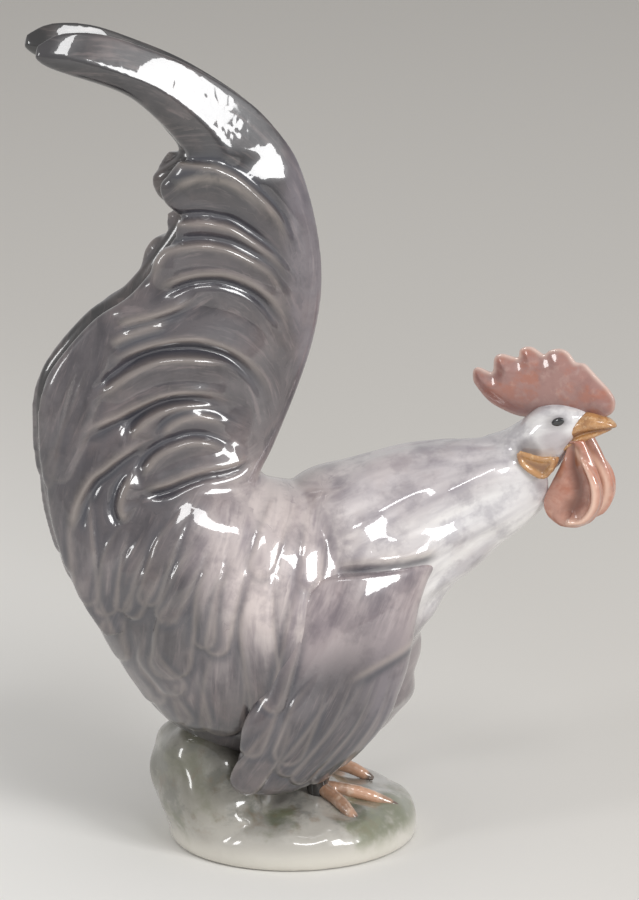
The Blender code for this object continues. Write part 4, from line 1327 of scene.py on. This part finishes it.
@dataclass
class Wings:
    """Both folded wings, with stepped flight feathers and a calm covert."""

    sections: tuple[Row, ...] = (
        (43.0, 105.0, 6.0, 103.6, 5.0, 24.5, 33.0),
        (46.0, 103.8, 2.5, 101.8, 6.4, 24.0, 32.6),
        (43.0, 98.5, -3.5, 96.5, 8.6, 25.0, 32.4),
        (39.5, 90.0, -8.0, 87.0, 9.8, 27.0, 32.6),
        (37.0, 78.0, -12.0, 75.0, 10.2, 28.0, 33.4),
        (34.8, 66.0, -16.5, 65.0, 9.9, 27.5, 34.2),
        (29.5, 52.5, -23.5, 54.0, 9.4, 27.0, 34.0),
        (21.5, 42.0, -24.5, 45.5, 8.9, 26.5, 32.8),
        (13.0, 34.2, -26.5, 37.5, 8.3, 26.0, 31.4),
        (2.5, 27.6, -27.5, 31.5, 7.2, 26.0, 30.4),
        (-7.0, 24.8, -22.5, 26.6, 4.6, 27.0, 29.4),
    )
    grain: float = 0.5
    strands: tuple[Strand, ...] = (
        Strand(((-3.0, 99.0), (-9.0, 81.3), (-14.5, 62.0)), 4.0, 1.9),
        Strand(((-6.0, 85.0), (-16.0, 63.4), (-22.0, 46.5)), 4.8, 1.9),
        Strand(((-9.3, 63.4), (-15.3, 47.3), (-24.0, 31.5)), 5.6, 2.2),
        Strand(((4.0, 74.2), (-4.3, 58.0), (-9.5, 44.5)), 6.0, 1.9),
        Strand(((14.0, 76.0), (4.0, 56.3), (-9.5, 38.0)), 4.6, 1.7),
        Strand(((22.5, 77.7), (12.5, 54.5), (-4.5, 34.0)), 4.6, 1.5),
        Strand(((27.5, 74.0), (19.2, 50.9), (3.5, 31.5)), 4.6, 1.3),
        Strand(((31.0, 68.0), (25.5, 50.9), (14.0, 35.0)), 4.4, 1.1),
    )
    passes: int = 14
    triangles: int = 150000
    barb_spacing: float = 2.6
    shoulder_height: float = 76.0
    shoulder_blend: float = 9.0
    covert_lean: Point = (0.89, 0.45)
    coverts: tuple[FeatherEdge, ...] = (
        FeatherEdge(((39.0, 78.0), (36.2, 76.6), (22.1, 71.4), (9.7, 65.7)),
                    height=0.35, reach=14.0, overlap=Overlap.RIGHT, depth=0.0, shadow=3.0),
    )
    washes: tuple[Wash, ...] = (
        Wash(LILAC, (34.0, 66.0), (20.0, 64.0), 0.0, 0.7),
        Wash(ROSE, (16.0, 104.0), (56.0, 38.0), 0.0, 0.62),
        Wash(ROSE, (42.0, 84.0), (18.0, 40.0), 0.0, 0.45),
        Wash(ROSE, (-6.0, 96.0), (22.0, 30.0), 0.0, 0.7),
        Wash(DUSK, (-10.0, 38.0), (30.0, 20.0), 30.0, 0.7),
    )

    def build(self) -> Item:
        """Make both wings."""
        clay = Clay()
        clay.pair(self.sections)
        item = clay.finish("wings", self.grain, self.passes)
        places, normals = read_points(item.data)
        surface = Surface(places[:, [0, 2]])
        for feather in (*self.strands, *self.coverts):
            feather.lay(surface)
        courses = tuple(strand.points for strand in self.strands)
        flow = Barbs(courses, self.barb_spacing).lay(surface)
        x, z = surface.flat.T
        u, w = self.covert_lean
        plain = np.column_stack([u * x - w * z, w * x + u * z, np.full(len(x), -1.0)])
        flow = np.where(z[:, None] > self.shoulder_height, plain, flow)
        bold = 1 - hill(z, self.shoulder_height, self.shoulder_blend)
        carve(item, surface, normals, places)
        surface.keep(item, flow, lay_washes(surface.flat, SLATE, self.washes), bold)
        soften(item, 2)
        lighten(item, self.triangles)
        return dress(item, FeatherGlaze("wing_glaze"))


@dataclass
class Comb:
    """Single comb with five points."""

    thickness: float = 4.6
    edge_share: float = 0.4
    bevel: float = 6.0
    grain: float = 0.42
    passes: int = 10
    rim_width: float = 0.9
    pale_points: Point = (14.0, 24.0)
    root_shade: float = 0.7
    root_height: float = 20.0
    root_blend: float = 12.0
    outline: tuple[Point, ...] = (
        (-28.6, 17.2), (-29.0, 20.7), (-27.5, 22.9), (-21.7, 21.5), (-21.0, 26.5), (-18.7, 28.5),
        (-12.1, 27.7), (-11.3, 30.8), (-7.6, 32.1), (-2.5, 29.7), (-0.5, 31.4), (3.3, 32.4),
        (6.5, 31.2), (9.3, 28.0), (12.4, 28.0), (17.2, 23.7), (21.9, 19.3), (24.1, 15.1),
        (21.6, 10.2), (7.7, 8.0), (-4.0, 7.5), (-10.6, 6.8), (-17.6, 8.6), (-23.4, 11.6),
    )

    def build(self) -> Item:
        """Make the comb."""
        clay = Clay()
        clay.plate(self.outline, self.thickness, HEAD)
        item = clay.finish("comb", self.grain, self.passes)
        places, _ = read_points(item.data)
        local = to_head(places)
        inside = np.abs(head_distance(item, closed(self.outline)))
        thin = (1 - self.edge_share) * (1 - ramp(inside, 0.0, self.bevel))
        sideways = np.array(HEAD.to_3x3() @ Vector((0.0, 1.0, 0.0)))
        write_points(item.data, places - np.outer(local[:, 1] * thin, sideways))
        soften(item, 2)
        height = local[:, 2]
        rim = hill(inside, 0.0, self.rim_width) * (0.3 + 0.5 * ramp(height, *self.pale_points))
        store(item, "rim", "FLOAT", rim)
        dark = self.root_shade * ramp(self.root_height - height, 0.0, self.root_blend)
        store(item, "crease", "FLOAT", dark)
        finish = FleshGlaze("comb_glaze", linear(160, 118, 110), linear(220, 194, 182),
                            linear(116, 78, 74), linear(170, 102, 78))
        return dress(item, finish)


@dataclass
class Wattles:
    """Two cupped wattles with soft rolled rims."""

    grain: float = 0.4
    passes: int = 6
    rim_radius: float = 1.9
    rim_taper: float = 0.45
    hollow: float = 2.3
    hollow_width: float = 3.0
    leaf: tuple[Row, ...] = (
        (14.5, 2.0, 9.0, 0.8, 2.2, 4.6, 4.6),
        (17.6, -3.5, 8.0, -3.5, 2.4, 4.8, 5.0),
        (20.4, -9.5, 5.6, -9.5, 2.7, 5.0, 5.6),
        (22.4, -16.0, 2.6, -16.0, 2.9, 5.2, 6.2),
        (22.0, -21.5, 0.7, -21.5, 2.9, 5.6, 6.6),
        (18.6, -26.9, 2.6, -26.4, 2.6, 6.0, 6.8),
        (13.5, -29.4, 7.0, -29.2, 1.8, 6.4, 6.8),
    )
    rim: tuple[Row, ...] = (
        (12.0, 5.6, -1.6), (13.6, 6.2, -4.0), (17.0, 7.2, -8.0), (19.6, 7.6, -12.5),
        (20.4, 7.6, -17.5), (19.4, 7.8, -22.0), (16.0, 8.2, -26.2), (11.0, 8.4, -27.6),
    )
    fold: tuple[Point, ...] = (
        (11.6, -2.0), (12.4, -7.0), (14.6, -12.0), (15.0, -18.0), (12.6, -23.0),
    )

    def build(self) -> Item:
        """Make both wattles."""
        clay = Clay()
        for side in Side:
            clay.loft(self.leaf, side=side.value, place=HEAD)
            rows = [(u, v * side.value, w) for u, v, w in self.rim]
            line = smooth_rows(rows, OUTLINE_STEP)
            swing = np.sin(math.pi * np.arange(len(line)) / (len(line) - 1))
            radii = self.rim_radius * (self.rim_taper + (1 - self.rim_taper) * swing)
            clay.tube([Vector(row) for row in line], radii.tolist(), HEAD)
        item = clay.finish("wattles", self.grain, self.passes)
        places, normals = read_points(item.data)
        local = to_head(places)
        flat = local[:, [0, 2]]
        turn = np.array(HEAD.to_3x3().inverted())
        facing = ramp((normals @ turn.T)[:, 1] * np.sign(local[:, 1]), 0.2, 0.7)
        distance, _ = Course(self.fold).measure(flat)
        deep = hill(distance, 0.6, self.hollow_width) * facing
        write_points(item.data, places - normals * (self.hollow * deep)[:, None])
        soften(item, 3)
        # Pale edge along the rolled rim, partly painted highlight, and painted shade in the fold.
        edge, _ = Course([(u, w) for u, _, w in self.rim]).measure(flat)
        store(item, "rim", "FLOAT", 0.8 * hill(edge, 0.0, 1.1))
        store(item, "crease", "FLOAT", 0.95 * hill(distance, 0.8, 2.6) * facing)
        finish = FleshGlaze("wattle_glaze", linear(186, 136, 118), linear(242, 204, 182),
                            linear(112, 60, 40), linear(172, 104, 78))
        return dress(item, finish)


@dataclass
class Beak:
    """Upper and lower half of the beak, with the gape between them."""

    grain: float = 0.4
    passes: int = 3
    upper: tuple[Row, ...] = (
        (14.0, 11.3, 6.5, -1.5, 6.3),
        (17.2, 11.0, 11.8, 2.4, 5.9),
        (20.2, 10.2, 17.4, 4.6, 4.6),
        (22.6, 9.1, 21.4, 5.6, 3.2),
        (24.2, 7.9, 23.8, 6.1, 1.9),
        (24.9, 7.1, 24.8, 6.4, 0.9),
    )
    lower: tuple[Row, ...] = (
        (8.0, 0.4, 5.5, -4.8, 5.6),
        (13.0, 3.6, 12.0, -0.6, 5.2),
        (17.5, 5.0, 17.0, 2.0, 4.0),
        (21.0, 5.8, 20.8, 4.0, 2.6),
        (23.2, 6.2, 23.1, 5.3, 1.2),
    )
    gape: tuple[Point, ...] = ((7.5, 0.0), (12.5, 3.9), (18.0, 5.1), (22.8, 6.0), (25.0, 6.3))
    gape_width: float = 0.8

    def build(self) -> Item:
        """Make the beak."""
        clay = Clay()
        clay.loft(self.upper, place=HEAD)
        clay.loft(self.lower, place=HEAD)
        item = clay.finish("beak", self.grain, self.passes)
        # Painted shade along the gape between the two halves.
        store(item, "crease", "FLOAT", hill(head_distance(item, self.gape), 0.0, self.gape_width))
        return dress(item, HornGlaze("beak_glaze"))


@dataclass
class EarLobes:
    """Crescent ear lobes under the ears, with a rolled rim."""

    grain: float = 0.35
    passes: int = 7
    thickness: float = 4.6
    sideways: float = 9.4
    rim_radius: float = 1.0
    shade: float = 0.8
    shade_reach: Point = (1.2, 2.8)
    outline: tuple[Point, ...] = (
        (-7.4, -3.3), (-3.6, -3.9), (2.0, -4.7), (6.6, -4.2), (6.0, -7.3), (4.0, -10.6),
        (1.2, -11.3), (-3.6, -9.1), (-6.6, -6.4),
    )

    def build(self) -> Item:
        """Make both lobes."""
        clay = Clay()
        for side in Side:
            place = HEAD @ Matrix.Translation((0.0, self.sideways * side.value, 0.0))
            clay.plate(self.outline, self.thickness, place)
            out = self.thickness / 2 * side.value
            rows = [(u * 0.9, out, w * 0.93 - 0.4) for u, w in closed(self.outline)]
            points = [Vector(row) for row in smooth_rows(rows, OUTLINE_STEP)]
            clay.tube(points, [self.rim_radius] * len(points), place)
        item = clay.finish("ear_lobes", self.grain, self.passes)
        inside = np.abs(head_distance(item, closed(self.outline)))
        store(item, "crease", "FLOAT", self.shade * ramp(inside, *self.shade_reach))
        return dress(item, HornGlaze("lobe_glaze"))


@dataclass
class Eyes:
    """Small painted eyes, slightly proud of the head."""

    middle: Row = (6.0, 7.5, 8.1)
    radii: Row = (2.5, 1.0, 1.5)
    tilt: float = 24.0

    def build(self) -> Item:
        """Make both eyes."""
        clay = Clay()
        for side in Side:
            middle = Vector((self.middle[0], self.middle[1] * side.value, self.middle[2]))
            turn = Matrix.Rotation(math.radians(-self.tilt), 4, "Y")
            clay.ball(Vector(), Vector(self.radii), HEAD @ Matrix.Translation(middle) @ turn)
        item = clay.finish("eyes")
        return dress(item, EyeGlaze())


@dataclass
class Legs:
    """Feathered thighs and scaly toes with claws."""

    feet_grain: float = 0.45
    feet_passes: int = 2
    thigh_grain: float = 0.7
    thigh_passes: int = 4
    toe_radius: float = 2.4
    claw_radius: float = 0.8
    scale_pitch: float = 2.4
    scale_height: float = 0.05
    toe_step: float = 0.3
    ring_spacing: float = 0.6
    knuckle_rise: float = 1.2
    thigh_blend: Point = (24.0, 38.0)
    near_ankle: Row = (6.5, -13.0, 21.0)
    near_toes: tuple[Row, ...] = (
        (34.6, -18.0, 12.9), (17.4, -31.0, 12.4),
    )
    far_ankle: Row = (13.0, 13.0, 21.0)
    far_toes: tuple[Row, ...] = (
        (31.0, 6.0, 15.0), (27.0, 25.0, 13.6), (-5.0, 14.0, 17.0),
    )
    thigh: tuple[Row, ...] = (
        (20.0, 46.0, -14.0, 46.0, 13.0, 14.0, 15.0),
        (16.0, 34.0, -8.0, 34.0, 9.5, 13.5, 14.0),
        (11.0, 25.0, 1.0, 25.0, 5.0, 13.0, 13.0),
        (9.0, 17.0, 3.0, 16.0, 3.6, 13.0, 13.0),
    )

    def toe(self, clay: Clay, ankle: Vector, tip: Vector) -> None:
        """Add one toe, ringed with scales, from the ankle to its claw."""
        knuckle = ankle.lerp(tip, 0.5) + Vector((0.0, 0.0, self.knuckle_rise))
        rows = [(*ankle, self.toe_radius), (*knuckle, self.toe_radius),
                (*knuckle.lerp(tip, 0.65), self.toe_radius * 0.8), (*tip, self.claw_radius)]
        line = smooth_rows(rows, self.toe_step)
        radii = []
        for number, row in enumerate(line):
            turns = number * self.ring_spacing / self.scale_pitch
            ring = math.sin(turns * 2 * math.pi) * self.scale_height
            radii.append(max(self.claw_radius, row[3] + ring))
        clay.tube([Vector(row[:3]) for row in line], radii)

    def feet(self) -> Item:
        """Make both feet, with dark claws."""
        clay = Clay()
        for ankle, toes in ((self.near_ankle, self.near_toes), (self.far_ankle, self.far_toes)):
            for tip in toes:
                self.toe(clay, Vector(ankle), Vector(tip))
        feet = clay.finish("feet", self.feet_grain, self.feet_passes)
        places, _ = read_points(feet.data)
        reach = [np.linalg.norm(places - np.array(tip), axis=1)
                 for tip in (*self.near_toes, *self.far_toes)]
        store(feet, "crease", "FLOAT", 1 - ramp(np.min(reach, axis=0), 2.2, 4.2))
        finish = HornGlaze("foot_glaze", linear(204, 158, 128), linear(96, 78, 66),
                           linear(226, 200, 178), scale=90.0)
        return dress(feet, finish)

    def thighs(self) -> Item:
        """Make both thighs, dark where the body shades them."""
        clay = Clay()
        clay.pair(self.thigh)
        thighs = clay.finish("thighs", self.thigh_grain, self.thigh_passes)
        places, _ = read_points(thighs.data)
        share = ramp(places[:, 2], *self.thigh_blend)[:, None]
        # Painted shade low on the thighs, under the body.
        colours = np.array(THIGH_SHADE) * (1 - share) + np.array(DUSK) * share
        store(thighs, "paint", "FLOAT_COLOR", colours)
        store(thighs, "flow", "FLOAT_VECTOR", places[:, [0, 2, 1]])
        return dress(thighs, FeatherGlaze("thigh_glaze"))

    def build(self) -> list[Item]:
        """Make the feet and the thighs."""
        return [self.feet(), self.thighs()]


@dataclass
class Base:
    """Low oval base with the rock that carries the tail end of the body.

    The slab and the rock are rows for Clay.stack.  The crease mask is painted shade on the rock
    under the belly and along the seam where the body meets it.
    """

    grain: float = 0.75
    passes: int = 8
    lump_height: float = 1.3
    lump_size: float = 13.0
    lump_from: Point = (4.0, 16.0)
    belly_middle: float = -10.0
    belly_size: Point = (27.0, 30.0)
    belly_edge: Point = (0.6, 1.1)
    belly_from: Point = (20.0, 28.0)
    belly_shade: float = 0.9
    seam: Point = (41.0, 9.0)
    seam_from: Point = (-42.0, -24.0)
    seam_shade: float = 0.8
    slab: tuple[Row, ...] = (
        (0.0, 0.0, 0.0, 43.4, 41.4),
        (2.0, 0.0, 0.0, 44.5, 42.5),
        (8.0, 0.0, 0.0, 44.0, 42.0),
        (12.0, 0.0, 0.0, 41.0, 38.5),
        (15.0, -1.0, 0.0, 33.0, 31.0),
        (17.5, -2.0, 0.0, 20.0, 19.0),
        (18.5, -2.0, 0.0, 8.0, 8.0),
    )
    rock: tuple[Row, ...] = (
        (2.0, -21.0, 1.0, 22.0, 32.0),
        (12.0, -25.0, 1.0, 22.5, 31.0),
        (21.0, -29.0, 2.0, 21.0, 28.0),
        (28.0, -30.0, 2.0, 20.0, 25.5),
        (35.0, -31.0, 1.0, 17.5, 22.0),
        (41.0, -32.0, 0.0, 12.5, 16.0),
        (45.0, -32.0, 0.0, 6.0, 9.0),
    )

    def build(self) -> Item:
        """Make the base."""
        clay = Clay()
        clay.stack(self.slab)
        clay.stack(self.rock)
        item = clay.finish("base", self.grain, self.passes)
        places, normals = read_points(item.data)
        x, y, z = places.T
        lumps = np.array([noise.noise(Vector(place) / self.lump_size) for place in places])
        push = lumps * self.lump_height * 2 * ramp(z, *self.lump_from)
        write_points(item.data, places + normals * push[:, None])
        under = np.hypot((x - self.belly_middle) / self.belly_size[0], y / self.belly_size[1])
        belly = self.belly_shade * (1 - ramp(under, *self.belly_edge)) * ramp(z, *self.belly_from)
        seam = self.seam_shade * (hill(z, *self.seam) * ramp(x, *self.seam_from))
        store(item, "crease", "FLOAT", np.maximum(belly, seam))
        return dress(item, RockGlaze())


@dataclass(frozen=True)
class SoftBox:
    """A lamp's name, place, width and height in metres, and power in watts."""

    name: str
    place: Row
    size: Point
    power: float


@dataclass
class Studio:
    """Pale seamless floor, soft boxes and the camera, in metres and degrees."""

    boxes: tuple[SoftBox, ...] = (
        SoftBox("key_box", (0.80, -1.12, 0.74), (0.50, 0.62), 11.5),
        SoftBox("left_box", (-1.6, -0.6, 0.9), (0.3, 0.6), 5.0),
        SoftBox("top_box", (0.1, -1.0, 1.35), (0.4, 0.25), 3.0),
    )
    world_colour: Colour = linear(216, 215, 214)
    world_strength: float = 0.85
    floor_half: float = 3.0
    floor_drop: float = 0.0002
    floor_roughness: float = 0.85
    sensor: float = 36.0
    target: Row = (-0.00133, 0.0, 0.1404)
    azimuth: float = -12.0
    elevation: float = 14.5
    distance: float = 1.25
    lens: float = 142.8
    floor_colour: Colour = linear(240, 239, 236)
    # Painted shade on the floor toward its right and far sides.
    floor_side_shade: Colour = linear(216, 213, 208)
    floor_far_shade: Colour = linear(206, 203, 198)

    def aim(self, item: Item, place: Vector, target: Vector) -> None:
        """Put a camera or lamp at a place, looking at a target."""
        item.location = place
        item.rotation_euler = (target - place).to_track_quat("-Z", "Y").to_euler()

    def lamp(self, box: SoftBox) -> None:
        """Add a soft box that faces the object."""
        data = bpy.data.lights.new(box.name, "AREA")
        data.shape = "RECTANGLE"
        data.size, data.size_y = box.size
        data.energy = box.power
        item = bpy.data.objects.new(box.name, data)
        bpy.context.scene.collection.objects.link(item)
        self.aim(item, Vector(box.place), Vector(self.target))

    def floor(self) -> None:
        """Lay the floor, with painted shade toward its right and far sides."""
        bm = bmesh.new()
        grid = bmesh.ops.create_grid(bm, x_segments=2, y_segments=2, size=self.floor_half)
        bmesh.ops.translate(bm, verts=grid["verts"], vec=(0.0, 0.0, -self.floor_drop))
        mesh = bpy.data.meshes.new("floor")
        bm.to_mesh(mesh)
        bm.free()
        floor = bpy.data.objects.new("floor", mesh)
        bpy.context.scene.collection.objects.link(floor)
        nodes = Nodes("floor_paper")
        turned = nodes.add("Mapping")
        turned.inputs["Rotation"].default_value = (0.0, 0.0, math.radians(self.azimuth))
        nodes.link(nodes.add("TexCoord").outputs["Object"], turned.inputs["Vector"])
        parts = nodes.add("SeparateXYZ")
        nodes.link(turned.outputs["Vector"], parts.inputs[0])
        aside = nodes.span(parts.outputs["X"], -0.22, 0.22)
        far = nodes.span(parts.outputs["Y"], 0.9, 2.6)
        plain = nodes.mix(aside, self.floor_colour, self.floor_side_shade)
        tinted = nodes.mix(far, plain, self.floor_far_shade)
        nodes.link(tinted, nodes.shader.inputs["Base Color"])
        nodes.shader.inputs["Roughness"].default_value = self.floor_roughness
        mesh.materials.append(nodes.material)

    def world(self) -> None:
        """Fill the room with plain soft light."""
        world = bpy.data.worlds.new("studio")
        world.use_nodes = True
        sky = world.node_tree.nodes["Background"]
        sky.inputs["Color"].default_value = (*self.world_colour, 1.0)
        sky.inputs["Strength"].default_value = self.world_strength
        bpy.context.scene.world = world

    def camera(self) -> None:
        """Set the camera up at the photograph's angle."""
        camera = bpy.data.objects.new("camera", bpy.data.cameras.new("camera"))
        bpy.context.scene.collection.objects.link(camera)
        camera.data.sensor_fit = "VERTICAL"
        camera.data.sensor_width = self.sensor
        camera.data.sensor_height = self.sensor
        camera.data.lens = self.lens
        around = math.radians(self.azimuth)
        lift = math.radians(self.elevation)
        back = Vector((math.sin(around) * math.cos(lift), -math.cos(around) * math.cos(lift),
                       math.sin(lift)))
        target = Vector(self.target)
        self.aim(camera, target + back * self.distance, target)
        bpy.context.scene.camera = camera

    def build(self) -> None:
        """Set up floor, world, lamps and camera."""
        self.floor()
        self.world()
        for box in self.boxes:
            self.lamp(box)
        self.camera()
        bpy.context.scene.view_settings.view_transform = "Standard"


def main() -> None:
    """Build every piece in order and report it."""
    logging.basicConfig(level=logging.INFO, format="%(name)s %(message)s")
    for part in (Plumage(), Wings(), Comb(), Wattles(), Beak(), EarLobes(), Eyes(), Legs(),
                 Base(), Studio()):
        part.build()


if __name__ == "__main__":
    main()
